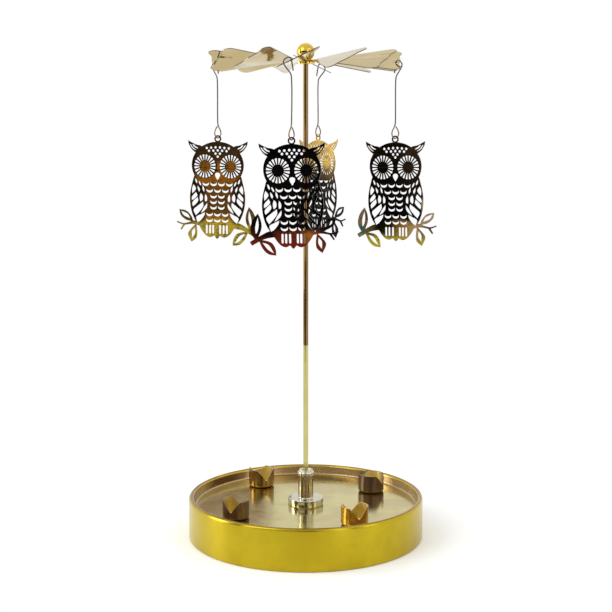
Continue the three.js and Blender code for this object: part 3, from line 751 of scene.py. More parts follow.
class Paintbox:
    """Makes the materials from their finishes."""

    def __init__(self) -> None:
        """Builds the shared effects first."""
        self.effects = Effects()
        self.layout = TintLayout()

    def metal(self, finish: MetalFinish) -> Material:
        """Material of a worked metal."""
        coat = Coat(finish.name, self.effects)
        clouds = coat.effect(self.effects.clouds, Scale=CLOUD_SCALE, Amount=finish.cloud_amount)
        coat.dress({"Base Color": coat.blend(clouds, tone(finish.colour), tone(finish.cloud))})
        scratches = coat.wear(*METAL_WEAR, finish.roughness, finish.worn_roughness)
        heights = [
            coat.waves(finish.grain, LINE_SCALE, finish.grain_depth),
            coat.level(scratches, 0, -finish.grain_depth),
        ]
        if finish.ripple_depth:
            heights.append(coat.waves(Grain.STAMPED, finish.ripple_scale, finish.ripple_depth))
        coat.raised(*heights)
        if finish.brushed:
            coat.brushed(finish.brushed)
        return coat.material

    def _tints(
        self, coat: Coat, finish: TintedFinish, shares: Sequence[NodeSocket], up: NodeSocket, ring: float
    ) -> Iterator[tuple[NodeSocket, Source]]:
        """Tints that lie over a plate's own colours, from the lowest to the top one.

        Args:
            coat: The plate's material.
            finish: Its finish.
            shares: Share of the plate's height, and of its width from limb to twig.
            up: Height in metres.
            ring: Height of the middle of the plate's ring in metres.

        Returns:
            Each tint's mask and its colour, one after the other.
        """
        layout = self.layout
        height, sideways = shares
        side = coat.math("ABSOLUTE", coat.level(sideways, -1, 1))
        if finish.rim:
            growth = coat.level(coat.fade(height, *layout.neck), 0, layout.rim_growth)
            start = finish.rim_start
            yield coat.fade(coat.math("ADD", side, growth), start, start + layout.rim_fade), tone(finish.rim)
        if finish.eye_ring:
            spot = coat.node("CombineXYZ", {"X": side, "Z": up}).outputs["Vector"]
            spot = coat.vector("MULTIPLY", "Vector", spot, (layout.half_width, 1, 1))
            away = coat.vector("DISTANCE", "Value", spot, (layout.eye[0], 0, layout.eye[1] + ring))
            edges = coat.fade(away, *layout.pupil_edge), coat.fade(away, *layout.eye_edge)
            yield coat.math("MULTIPLY", *edges), tone(finish.eye_ring)
        if finish.branch:
            top, edge = finish.branch_top, layout.branch_fade
            yield coat.fade(height, top + edge, top - edge), coat.ramp(sideways, finish.branch)
        if finish.leaf:
            ends = coat.fade(height, *layout.leaf_top), coat.fade(height, *layout.leaf_foot)
            outside = coat.fade(side, *layout.leaf_side)
            yield coat.math("MULTIPLY", outside, coat.math("MULTIPLY", *ends)), tone(finish.leaf)
        if finish.foot:
            top, edge = finish.foot_top, layout.foot_fade
            yield coat.fade(height, top + edge, top - edge), tone(finish.foot)

    def tinted(self, finish: TintedFinish, span: Point, ring: Vector, across: Vector) -> Material:
        """Material of a heat-tinted plate.

        Args:
            finish: Its colours by height and across.
            span: Heights of the plate's foot and top in metres.
            ring: Middle of the plate's ring in metres.
            across: Direction of the plate's width, towards the twig.

        Returns:
            The material.
        """
        coat = Coat(finish.name, self.effects)
        up = coat.node("SeparateXYZ", {"Vector": coat.place}).outputs["Z"]
        height = coat.effect(self.effects.along, Value=up, From=span[0], To=span[1], Wander=0.06, Scale=45)
        reach = coat.vector("DOT_PRODUCT", "Value", coat.place, across)
        centre, half = ring.dot(across), self.layout.half_width
        sideways = coat.effect(
            self.effects.along, Value=reach, From=centre - half, To=centre + half, Wander=0.04, Scale=70
        )
        colour = coat.ramp(height, finish.stops)
        for mask, tint in self._tints(coat, finish, (height, sideways), up, ring.z):
            colour = coat.blend(mask, colour, tint)
        mottle = coat.effect(self.effects.clouds, Amount=finish.mottle_amount, **MOTTLE_SPOTS)
        coat.dress({"Base Color": coat.blend(mottle, colour, tone(finish.mottle))})
        coat.wear(*PLATE_WEAR, finish.roughness, finish.worn_roughness)
        coat.raised(coat.waves(Grain.STAMPED, *PLATE_WAVES), coat.waves(Grain.STAMPED, *PLATE_LINES))
        return coat.material


# Finishes of this carousel

# The drum is one pressed sheet. The band shows its own gold; the lip and the wall are painted darker as painted
# shade, and the tray floor paler as painted light.
BAND_GOLD = MetalFinish(
    "satin_band_gold", "bfa927", "af971d", 0.6, 0.28, 0.36, Grain.TURNED, 0.000001, brushed=0.8
)
LIP_PAINTED_SHADE = MetalFinish("lip_gold_painted_shade", "a07e3a", "785826", 0.7, 0.12, 0.2, Grain.TURNED, 0.0000003)
WALL_PAINTED_SHADE = MetalFinish("wall_painted_shade", "b59a72", "9e825e", 0.6, 0.22, 0.3, Grain.TURNED, 0.0000003)
TRAY_PAINTED_LIGHT = MetalFinish("tray_gold_painted_light", "c6ba76", "ae9c62", 0.6, 0.14, 0.22, Grain.STAMPED, 0.0000003, 0.00006, 45)
# The four cups are one metal; their tones differ from cup to cup as painted light and shade, darkest at the
# back right and brightest at the front right.
CUP_LIT_AND_SHADED_TONES = (
    ("6e5a4c", "58473b", 0.34), ("a4824e", "7c5e34", 0.24),
    ("846a50", "68523c", 0.34), ("d2a646", "a8802e", 0.26),
)
CUP_LIT_AND_SHADED_FINISHES = [
    MetalFinish(
        f"cup_bronze_{index + 1}", colour, cloud, 0.6, rough, rough + 0.08, Grain.DRAWN, 0.0000004, 0.00004, 90
    )
    for index, (colour, cloud, rough) in enumerate(CUP_LIT_AND_SHADED_TONES)
]
CUP_INSIDE = MetalFinish("cup_inside_brass", "f2e096", "d2bc70", 0.6, 0.36, 0.44, Grain.DRAWN, 0.0000004)
FOOT_CHROME = MetalFinish("foot_chrome", "cbc6b2", "aca48f", 0.4, 0.15, 0.22, Grain.TURNED, 0.0000002)
PALE_ROD_GOLD = MetalFinish("pale_rod_gold", "cfc886", "bab068", 0.4, 0.12, 0.2, Grain.DRAWN, 0.0000002)
DARK_ROD_BRONZE = MetalFinish("dark_rod_bronze", "92754a", "785c38", 0.5, 0.06, 0.1, Grain.DRAWN, 0.0000001)
HUB_GOLD = MetalFinish("polished_hub_gold", "e4c656", "b8922a", 0.5, 0.06, 0.14, Grain.TURNED, 0.0000004)
BLADE_CHAMPAGNE = MetalFinish(
    "champagne_blade", "c8b585", "b09a62", 0.5, 0.05, 0.12, Grain.STAMPED, 0.0000002, 0.0002, 45
)
BLADE_EDGE = MetalFinish("sheared_blade_edge", "827963", "5e5646", 0.5, 0.3, 0.45, Grain.STAMPED, 0.000003)
WIRE_STEEL = MetalFinish("drawn_wire_steel", "66625b", "4a453e", 0.5, 0.24, 0.38, Grain.DRAWN, 0.000002)
EYE_WIRE_GOLD = MetalFinish("eye_wire_gold", "8d8068", "63553c", 0.5, 0.2, 0.34, Grain.DRAWN, 0.000002)
RIVET_STEEL = MetalFinish("rivet_steel", "a9a7a1", "85807a", 0.5, 0.28, 0.42)
FIXING_STEEL = replace(RIVET_STEEL, name="fixing_steel")

OWL_FINISHES = (
    TintedFinish(
        "owl_tint_right",
        ((0.0, "12110d"), (0.3, "120e0b"), (0.66, "241a12"), (1.0, "40301e")),
        branch=(
            (0.0, "3a7476"), (0.09, "4a7a70"), (0.17, "80703c"), (0.3, "141610"), (0.46, "3a3214"),
            (0.58, "b58f4c"), (0.78, "c0a070"), (0.88, "7a5c40"), (1.0, "24180f"),
        ),
        leaf="a89070",
        foot="c2b236",
        foot_top=0.095,
    ),
    TintedFinish(
        "owl_tint_back",
        ((0.0, "0f0c0a"), (0.55, "100d0a"), (0.66, "4a3818"), (0.76, "92783c"), (1.0, "a08448")),
    ),
    TintedFinish(
        "owl_tint_left",
        ((0.0, "c4aa38"), (0.2, "c0a032"), (0.25, "9c6c1e"), (0.31, "5c4018"), (0.5, "664218"), (0.6, "8c5818"),
         (0.75, "825618"), (0.81, "43301a"), (1.0, "2a2014")),
        rim="1a130d",
        leaf="5c5026",
        branch=((0.0, "b8a648"), (0.2, "b09c3c"), (0.45, "c0a032"), (0.75, "a8963c"), (1.0, "b0a050")),
        branch_top=0.2,
        foot="bcae48",
        foot_top=0.07,
        eye_ring="1d150d",
        mottle="4a3012",
        mottle_amount=0.6,
    ),
    TintedFinish(
        "owl_tint_front",
        ((0.0, "170e0c"), (0.3, "0d090a"), (1.0, "0a0909")),
        branch=(
            (0.0, "4a1c14"), (0.08, "3a1612"), (0.15, "1a0e0c"), (0.28, "1a0e0c"), (0.35, "602616"),
            (0.6, "702c18"), (0.69, "a8662a"), (0.76, "8a4420"), (0.82, "5a2a18"), (0.89, "1c1210"),
            (1.0, "0c0a0a"),
        ),
        branch_top=0.21,
        foot="74281a",
        foot_top=0.13,
    ),
)


@dataclass
class TrayDrum:
    """The pressed drum: outer band, rolled lip and sunken tray floor.

    Attributes:
        diameter: Outer diameter in millimetres.
        height: Height of the lip's top.
        sheet: Thickness of the sheet.
        lip_width: Width of the rolled lip.
        recess_depth: Depth of the tray floor under the lip.
        corner_radius: Inner radius between wall and floor.
        hem_width: Width of the hem that stands on the table.
        hole_radius: Radius of the screw hole.
        floor_rings: Radii at which the tray floor's facets are parted.
        facets: Facets round the axis.
    """

    diameter: float = 130
    height: float = 23
    sheet: float = 0.8
    lip_width: float = 3
    recess_depth: float = 5.8
    corner_radius: float = 1.2
    hem_width: float = 4
    hole_radius: float = 1.55
    floor_rings: Point = (45, 25)
    facets: int = 180

    def section(self) -> Outline:
        """Section of the sheet, from the hem up the band, over the lip and in to the screw hole."""
        radius = self.diameter / 2
        roll = self.lip_width / 2
        lip = (radius - roll, self.height - roll)
        floor = self.height - self.recess_depth
        corner = (radius - self.lip_width - self.corner_radius, floor + self.corner_radius)
        outer_corner = self.corner_radius + self.sheet
        hem_rounding, under_roll = 0.6, 0.4
        return [
            (radius - self.hem_width, 0),
            (radius - hem_rounding, 0),
            *arc((radius - hem_rounding, hem_rounding), hem_rounding, -60, 0, 3),
            (radius, self.height - roll - under_roll),
            *arc(lip, roll, 0, 180, 14),
            *arc(corner, self.corner_radius, 0, -90, 6),
            *[(ring, floor) for ring in self.floor_rings],
            (self.hole_radius, floor),
            (self.hole_radius, floor - self.sheet),
            *arc(corner, outer_corner, -90, 0, 6),
            *arc(lip, roll - self.sheet, 180, 0, 10),
            (radius - self.sheet, self.sheet),
            (radius - self.hem_width, self.sheet),
            (radius - self.hem_width, 0),
        ]

    def build(self, box: Paintbox) -> None:
        """Makes the drum and gives band, lip, tray and wall their own finishes, with painted shade on the lip
        and wall and painted light on the tray floor.
        """
        piece = Bench.turned("drum_shell", self.section(), self.facets, closed=True)
        floor = Matrix.Translation((0, 0, self.height - self.recess_depth))
        drills = []
        for index in range(4):
            hole = ellipse(CandleCups().place(index), RIVET_HOLE, RIVET_HOLE, 16)
            drills.append(Bench.placed(Bench.sheet("rivet_drill", [hole], 4), floor))
        Bench.combine(piece, [Bench.joined(drills)], Join.CUT)
        wall = self.diameter / 2 - self.lip_width
        lip_foot = self.height - self.lip_width * 0.12
        tray_edge, wall_edge = wall - self.corner_radius * 0.6, wall + 0.2
        lip_zone, tray_zone, wall_zone = 1, 2, 3
        for face in piece.data.polygons:
            across = math.hypot(face.center.x, face.center.y)
            if face.center.z > lip_foot:
                face.material_index = lip_zone
            elif across < tray_edge:
                face.material_index = tray_zone
            elif across < wall_edge:
                face.material_index = wall_zone
        # Lip and wall finishes carry painted shade, the tray finish painted light.
        finishes = [box.metal(finish) for finish in (BAND_GOLD, LIP_PAINTED_SHADE, TRAY_PAINTED_LIGHT, WALL_PAINTED_SHADE)]
        fit_on(piece, finishes, "base", "drum_gold", "base_drum")


@dataclass
class CandleCups:
    """The four cups, each a sleeve with two V notches that grip a candle.

    Attributes:
        diameter: Outer diameter in millimetres.
        height: Height from the tray floor.
        wall: Thickness of the wall.
        bottom: Thickness of the bottom.
        edge_radius: Radius of the lower edge.
        notch_width: Width of a notch at the top.
        notch_depth: Depth of a notch.
        floor: Height of the tray floor.
        ring_radius: Distance of the cups from the axis.
        bearing: Bearing of the first cup in degrees.
        turns: Turn of each cup in degrees from its own bearing.
    """

    diameter: float = 14.6
    height: float = 10.2
    wall: float = 0.8
    bottom: float = 0.9
    edge_radius: float = 1.6
    notch_width: float = 9.6
    notch_depth: float = 5.8
    floor: float = TRAY_FLOOR
    ring_radius: float = 45.7
    bearing: float = 43
    turns: tuple[float, ...] = (-62, -10, 35, -16)

    def place(self, index: int) -> Point:
        """Middle of a cup on the tray, by its number from 0."""
        return polar(self.ring_radius, self.bearing + 90 * index)

    def cup(self) -> Object:
        """One cup at the origin, with its notches along X."""
        outer = self.diameter / 2
        inner = outer - self.wall
        chamfer, valley = 0.4, 0.35
        piece = Bench.turned("cup", [
            (RIVET_HOLE, 0),
            *arc((outer - self.edge_radius, self.edge_radius), self.edge_radius, -90, 0, 6),
            (outer, self.height / 2),
            (outer, self.height),
            (inner, self.height),
            (inner, self.height / 2),
            (inner, self.bottom + chamfer),
            (inner - chamfer, self.bottom),
            (RIVET_HOLE, self.bottom),
            (RIVET_HOLE, 0),
        ], 72, closed=True)
        half = self.notch_width / 2
        low, top = self.height - self.notch_depth, self.height + 1
        flare = 1 + 1 / self.notch_depth
        wedge = Bench.sheet("notch", [[
            (-valley, low + valley / 2), (0, low), (valley, low + valley / 2),
            (half * flare, top), (-half * flare, top),
        ]], self.diameter + 2)
        Bench.combine(piece, [Bench.placed(wedge, turn_about_z(90) @ tip_about_x(90))], Join.CUT)
        Bench.bevel(piece, width=0.22, segments=3, angle=50)
        inside = inner + 0.1
        for face in piece.data.polygons:
            across = math.hypot(face.center.x, face.center.y)
            face.material_index = int(across < inside and face.center.z > self.bottom / 2)
        return piece

    def rivet(self, name: str) -> Object:
        """One rivet with a domed head in the cup and a set head under the tray, its cup at the origin."""
        shank, head, dome = 1, 2.2, 0.9
        set_face, set_foot, set_head, broken = -0.8, -1.5, 1.8, 0.3
        return Bench.turned(name, [
            (0, set_foot), (set_head - broken, set_foot), (set_head, set_foot + broken), (set_head, set_face),
            (shank, set_face), (shank, self.bottom), (head, self.bottom),
            *arc((0, self.bottom - 0.1), head, 12, 60, 6), (0, self.bottom + dome),
        ], 32)

    def build(self, box: Paintbox) -> None:
        """Makes the four cups and the rivet heads in them."""
        steel, inside = box.metal(RIVET_STEEL), box.metal(CUP_INSIDE)
        model = self.cup()
        for index, turn in enumerate(self.turns):
            x, y = self.place(index)
            stand = Matrix.Translation((x, y, self.floor))
            piece = Bench.copied(model, f"notched_cup_{index + 1}")
            Bench.placed(piece, stand @ turn_about_z(self.bearing + 90 * index + turn))
            # Each cup's finish carries its own painted light and shade.
            finishes = [box.metal(CUP_LIT_AND_SHADED_FINISHES[index]), inside]
            fit_on(piece, finishes, "base", "cup_bronze", f"candle_cup_{index + 1}")
            rivet = Bench.placed(self.rivet(f"domed_rivet_{index + 1}"), stand)
            fit_on(rivet, [steel], "base", "plain_steel", f"cup_rivet_{index + 1}")
        bpy.data.objects.remove(model)


@dataclass
class Foot:
    """The bright foot of the post: flange, socket and the beaded collar at its mouth.

    Attributes:
        floor: Height of the tray floor in millimetres.
        flange_radius: Radius of the flange.
        flange_height: Height of the flange.
        socket_radius: Radius of the socket tube.
        socket_height: Height of the socket above the flange.
        mouth_radius: Radius of the socket's mouth.
        bore_radius: Radius of the rod's bore.
        bead_radius: Greatest radius of the collar's bead.
        collar_height: Height of the collar above the socket.
    """

    floor: float = TRAY_FLOOR
    flange_radius: float = 9.8
    flange_height: float = 4
    socket_radius: float = 4.25
    socket_height: float = 13
    mouth_radius: float = 3.2
    bore_radius: float = 1.5
    bead_radius: float = 4.6
    collar_height: float = 3

    def build(self, box: Paintbox) -> None:
        """Makes the foot and its collar."""
        chrome = box.metal(FOOT_CHROME)
        top = self.floor + self.flange_height
        mouth = top + self.socket_height
        screw_hole, screw_end, bore_end, seat = 1.55, self.floor + 4.6, self.floor + 6.5, mouth - 4
        edge, fillet, chamfer = 0.35, 0.5, 0.15
        flat_rim, flat_middle, flat_start, tube_middle = 9.5, 7, self.socket_radius + 0.6, top + 6
        foot = Bench.turned("post_socket", [
            (0, screw_end), (screw_hole, screw_end), (screw_hole, self.floor), (flat_rim, self.floor),
            *arc((self.flange_radius - edge, self.floor + edge), edge, -90, 0, 3),
            *arc((self.flange_radius - edge, top - edge), edge, 0, 90, 4),
            (flat_middle, top), (flat_start, top),
            *arc((self.socket_radius + fillet, top + fillet), fillet, -90, -180, 4),
            (self.socket_radius, tube_middle), (self.socket_radius, mouth - chamfer),
            (self.socket_radius - chamfer, mouth), (self.mouth_radius, mouth), (self.mouth_radius, seat),
            (self.bore_radius, seat), (self.bore_radius, bore_end), (0, bore_end),
        ])
        fit_on(foot, [chrome], "base", "bright_chrome", "post_foot")
        bore, sleeve, sleeve_foot = self.mouth_radius - 0.8, self.mouth_radius - 0.1, mouth - 3
        bead, crown, crown_radius, chamfer = 1.05, 0.45, 3.75, 0.3
        collar_top = mouth + self.collar_height
        collar = Bench.turned("beaded_collar", [
            (bore, sleeve_foot), (sleeve, sleeve_foot), (sleeve, mouth),
            *arc((self.bead_radius - bead, mouth + bead), bead, -80, 70, 9),
            *arc((crown_radius - crown, collar_top - crown), crown, -25, 90, 6),
            (bore + chamfer, collar_top - 0.1), (bore, collar_top - 0.5), (bore, mouth), (bore, sleeve_foot),
        ], closed=True)
        fit_on(collar, [chrome], "base", "bright_chrome", "foot_collar", smooth_angle=45)


@dataclass
class Rod:
    """The two lengths of the central rod, pale below and dark above.

    Attributes:
        radius: Radius of the rod in millimetres.
        bottom: Height of its lower end.
        joint: Height where the two lengths meet.
        top: Height of its upper end.
        stud_hole: Radius of the holes for the stud that joins them.
        stud_depth: Depth of each of these holes.
        needle_hole: Radius of the hole for the needle.
        needle_depth: Depth of that hole.
        edge: Width of the broken edges.
        gap: Half of the gap between the two lengths.
    """

    radius: float = 1.4
    bottom: float = 23.7
    joint: float = 107.2
    top: float = 260.2
    stud_hole: float = 0.85
    stud_depth: float = 6.3
    needle_hole: float = 0.65
    needle_depth: float = 5
    edge: float = 0.12
    gap: float = 0.02

    def build(self, box: Paintbox) -> None:
        """Makes both lengths, each with broken edges at its ends."""
        steps = 8
        for name, low, high, finish, slot, node in (
            ("pale_rod", self.bottom, self.joint - self.gap, PALE_ROD_GOLD, "pale_gold", "lower_rod"),
            ("dark_rod", self.joint + self.gap, self.top, DARK_ROD_BRONZE, "dark_bronze", "upper_rod"),
        ):
            side = [(self.radius, low + (high - low) * i / steps) for i in range(1, steps)]
            outside = [
                (self.radius - self.edge, low), (self.radius, low + self.edge), *side,
                (self.radius, high - self.edge), (self.radius - self.edge, high),
            ]
            if high < self.top:
                end = high - self.stud_depth
                profile = [(0, low), *outside, (self.stud_hole, high), (self.stud_hole, end), (0, end)]
            else:
                start, end = low + self.stud_depth, high - self.needle_depth
                profile = [
                    (0, start), (self.stud_hole, start), (self.stud_hole, low), *outside,
                    (self.needle_hole, high), (self.needle_hole, end), (0, end),
                ]
            piece = Bench.turned(name, profile, 48)
            fit_on(piece, [box.metal(finish)], "base", slot, node)


@dataclass
class Hub:
    """The hub that turns with the wheel: flanged bush below and ball above.

    Attributes:
        flange_radius: Radius of the flange in millimetres.
        bottom: Height of the bush's lower face.
        wheel_bottom: Height of the wheel's lower face.
        wheel_top: Height of the wheel's upper face.
        ball_radius: Radius of the ball.
        ball_flat: Depth of the flat under the ball.
        spigot_radius: Radius of the bush's spigot.
        bore_radius: Radius of the bush's bore.
        roof: Height of the bearing's roof.
        spigot_top: Height of the spigot's top.
    """

    flange_radius: float = 5
    bottom: float = 259.2
    wheel_bottom: float = 260.7
    wheel_top: float = 261.2
    ball_radius: float = 4.8
    ball_flat: float = 0.5
    spigot_radius: float = 2.7
    bore_radius: float = 1.9
    roof: float = 265.3
    spigot_top: float = 266.3

    def build(self, box: Paintbox) -> None:
        """Makes the bush and the ball."""
        gold = box.metal(HUB_GOLD)
        edge, chamfer = 0.25, 0.1
        bush = Bench.turned("flanged_bush", [
            (0, self.roof), (self.bore_radius, self.roof), (self.bore_radius, self.bottom + chamfer),
            (self.bore_radius + chamfer, self.bottom),
            *arc((self.flange_radius - edge, self.bottom + edge), edge, -90, 0, 3),
            *arc((self.flange_radius - edge, self.wheel_bottom - edge), edge, 0, 90, 3),
            (self.spigot_radius, self.wheel_bottom), (self.spigot_radius, self.spigot_top),
            (0, self.spigot_top),
        ])
        fit_on(bush, [gold], "rotor", "polished_gold", "hub_bush")
        centre = self.wheel_top + self.ball_radius - self.ball_flat
        start = math.degrees(math.asin((self.wheel_top - centre) / self.ball_radius))
        clearance, end_clearance = 0.1, 0.3
        bore, bore_top = self.spigot_radius + clearance, self.spigot_top + end_clearance
        ball = Bench.turned("hub_finial", [
            (0, bore_top), (bore, bore_top), (bore, self.wheel_top),
            *arc((0, centre), self.ball_radius, start, 90, 28),
        ], 72)
        fit_on(ball, [gold], "rotor", "polished_gold", "hub_ball", smooth_angle=40)


@dataclass
class BladedWheel:
    """The rotor wheel: twelve blades on a disc, each twisted at its neck.

    Attributes:
        blades: Number of blades.
        sheet: Thickness of the sheet in millimetres.
        radius: Radius at the blades' tips.
        disc_radius: Radius of the hub's disc.
        pitch: Twist of a blade in degrees.
        lead: Turn of the blades in degrees ahead of the hangers.
        neck_width: Width of a blade's neck.
        neck_length: Length of the twisted neck.
        tip_width: Width of a blade near its tip.
        corner: Reach of the tip's rounded corners.
        dip: Depth of the two dips in the tip.
        crown: Depth of the tip's middle.
        middle: Height of the sheet's middle.
        bore_radius: Radius of the bore for the hub.
        hole_radius: Radius of a hanger hole.
        hole_place: Radius at which the hanger holes lie.
    """

    blades: int = 12
    sheet: float = 0.5
    radius: float = 51
    disc_radius: float = 9
    pitch: float = 25
    lead: float = 4
    neck_width: float = 2.8
    neck_length: float = 4.4
    tip_width: float = 23.8
    corner: float = 4.4
    dip: float = 1.1
    crown: float = 0.4
    middle: float = 260.95
    bore_radius: float = 2.8
    hole_radius: float = 1.1
    hole_place: float = HANGER_RING

    def hole_drop(self) -> float:
        """Depth of a hanger hole below the sheet's middle."""
        return self.hole_place * math.sin(math.radians(self.lead)) * math.tan(math.radians(self.pitch))

    def outline(self) -> Outline:
        """Outline of one flat blade with X along its length."""
        neck, tip = self.neck_width / 2, self.tip_width / 2
        lobe_share, dip_share, root, steps = 0.76, 0.5, 2.8, 8
        lobe = tip * lobe_share
        places = ((self.radius - self.corner, tip), (self.radius, tip), (self.radius, lobe))
        start, handle, end = (Vector(place) for place in places)
        corner = []
        for i in range(steps + 1):
            share = i / steps
            corner.append(tuple(start.lerp(handle, share).lerp(handle.lerp(end, share), share)))
        wave = []
        for i in range(1, steps + 1):
            y = lobe * (1 - i / steps)
            share = y / tip
            depth = self.crown + (self.dip - self.crown) * math.sin(math.pi / 2 * min(share / dip_share, 1))
            if share > dip_share:
                rise = (share - dip_share) / (lobe_share - dip_share)
                depth = self.dip * (0.5 + 0.5 * math.cos(math.pi * rise))
            wave.append((self.radius - depth, y))
        stem = [(self.disc_radius - root, neck), (self.disc_radius + self.neck_length, neck)]
        side = [*stem, *corner, *wave[:-1]]
        other = [(x, -y) for x, y in side]
        return [*other, wave[-1], *reversed(side)]

    def blade(self) -> Object:
        """One blade, cut across its neck in steps and twisted from step to step."""
        piece = Bench.sheet("blade", [self.outline()], self.sheet)
        steps = 10
        with Bench.editing(piece):
            for i in range(steps + 1):
                bpy.ops.mesh.select_all(action="SELECT")
                cut = self.disc_radius + self.neck_length * i / steps
                bpy.ops.mesh.bisect(plane_co=(cut, 0, 0), plane_no=(1, 0, 0))
        for corner in piece.data.vertices:
            corner.co = self.twist(corner.co.x) @ corner.co
        return piece

    def twist(self, reach: float) -> Matrix:
        """Turn of the sheet about the blade's length at a distance from the axis."""
        share = min(max((reach - self.disc_radius) / self.neck_length, 0), 1)
        return Matrix.Rotation(math.radians(self.pitch) * share * share * (3 - 2 * share), 3, "X")

    def upright(self, place: Vector) -> Vector:
        """Direction out of the sheet's upper face near a place on the wheel."""
        step = 360 / self.blades
        bearing = math.degrees(math.atan2(place.y, place.x)) - self.lead
        turn = turn_about_z(round(bearing / step) * step + self.lead).to_3x3()
        return turn @ self.twist(place.to_2d().length) @ Vector((0, 0, 1))

    def build(self, box: Paintbox) -> None:
        """Joins the blades and the disc and drills the hanger holes."""
        half = self.sheet / 2
        disc = [(0, -half), (self.disc_radius, -half), (self.disc_radius, half), (0, half)]
        wheel = Bench.turned("bladed_wheel", disc, 72)
        model = self.blade()
        blades = []
        for index in range(self.blades):
            turn = turn_about_z(self.lead + 360 * index / self.blades)
            blades.append(Bench.placed(Bench.copied(model, "blade"), turn))
        bpy.data.objects.remove(model)
        Bench.combine(wheel, blades, Join.ADD)
        drills = [Bench.sheet("bore", [ellipse((0, 0), self.bore_radius, self.bore_radius, 32)], 4)]
        for index in range(4):
            drill = Bench.sheet("hole", [ellipse((0, 0), self.hole_radius, self.hole_radius, 24)], 4)
            place = turn_about_z(90 * index) @ Matrix.Translation((self.hole_place, 0, -self.hole_drop()))
            drills.append(Bench.placed(drill, place @ turn_about_z(self.lead) @ tip_about_x(self.pitch)))
        Bench.combine(wheel, [Bench.joined(drills)], Join.CUT)
        Bench.bevel(wheel, width=0.07, segments=1, angle=60)
        least_upright = 0.8
        for face in wheel.data.polygons:
            face.material_index = int(abs(face.normal.dot(self.upright(face.center))) < least_upright)
        Bench.placed(wheel, Matrix.Translation((0, 0, self.middle)))
        finishes = [box.metal(BLADE_CHAMPAGNE), box.metal(BLADE_EDGE)]
        fit_on(wheel, finishes, "rotor", "blade_champagne", "rotor_wheel", smooth_angle=30)


@dataclass
class Hangers:
    """The four formed wires, each with a hook through its blade and a closed eye below.

    Attributes:
        radius: Radius of the wire in millimetres.
        place_radius: Distance of the hanger holes from the axis.
        hole_height: Height of the hanger holes.
        hook_reach: Reach of the hook.
        hook_turn: Turn of the hook's plane in degrees from the outward direction.
        drop: Drop from the hole to the eye's foot.
        eye_height: Height of the eye.
        eye_turns: Turn of each eye's plane in degrees from its owl's plane.
        hook: Middle line of the hook, outwards and up, in shares of its reach.
        eye: Middle line of the eye in shares of its height.
    """

    radius: float = 0.35
    place_radius: float = HANGER_RING
    hole_height: float = 259.382
    hook_reach: float = 5.6
    hook_turn: float = -45
    drop: float = 39.4
    eye_height: float = 6
    eye_turns: tuple[float, ...] = (70, 110, 70, 70)
    hook: tuple[Point, ...] = (
        (-0.19, -0.92), (-0.13, -0.56), (-0.05, -0.2), (0, 0.02), (0.09, 0.2), (0.3, 0.27), (0.6, 0.17),
        (0.84, -0.04), (0.87, -0.27), (0.72, -0.5), (0.4, -0.84), (0.13, -1.14), (0.02, -1.38),
    )
    eye: tuple[Point, ...] = (
        (0, 1.5), (-0.04, 1.2), (-0.16, 0.96), (-0.38, 0.66), (-0.45, 0.38), (-0.26, 0.09), (0, 0),
        (0.26, 0.09), (0.45, 0.38), (0.38, 0.66), (0.22, 0.88), (0.08, 1.02),
    )

    def path(self, eye_turn: float) -> list[Vector]:
        """Middle line of one wire, with X pointing outwards.

        Args:
            eye_turn: Turn of the eye's plane in degrees from X.

        Returns:
            The points from the hook's free end to the eye's.
        """
        points = []
        for shares, size, turn, rise in (
            (self.hook, self.hook_reach, self.hook_turn, 0),
            (self.eye, self.eye_height, eye_turn, -self.drop),
        ):
            for reach, height in shares:
                points.append(Vector((*polar(reach * size, turn), height * size + rise)))
        return points

    def build(self, box: Paintbox) -> None:
        """Makes the wires, steel above with a warmer eye."""
        steel, gold = box.metal(WIRE_STEEL), box.metal(EYE_WIRE_GOLD)
        eye_top = self.eye_height * 1.1 - self.drop
        for index, (owl_turn, eye_turn) in enumerate(zip(OWL_TURNS, self.eye_turns)):
            bearing = 90 * index
            path = self.path(owl_turn - bearing + eye_turn)
            piece = Bench.wire(f"formed_wire_{index + 1}", path, self.radius)
            for face in piece.data.polygons:
                face.material_index = int(face.center.z < eye_top)
            hole = Matrix.Translation((self.place_radius, 0, self.hole_height))
            Bench.placed(piece, turn_about_z(bearing) @ hole)
            node = f"hanger_wire_{index + 1}"
            fit_on(piece, [steel, gold], f"wire_{index + 1}", "wire_steel", node, smooth_angle=50)


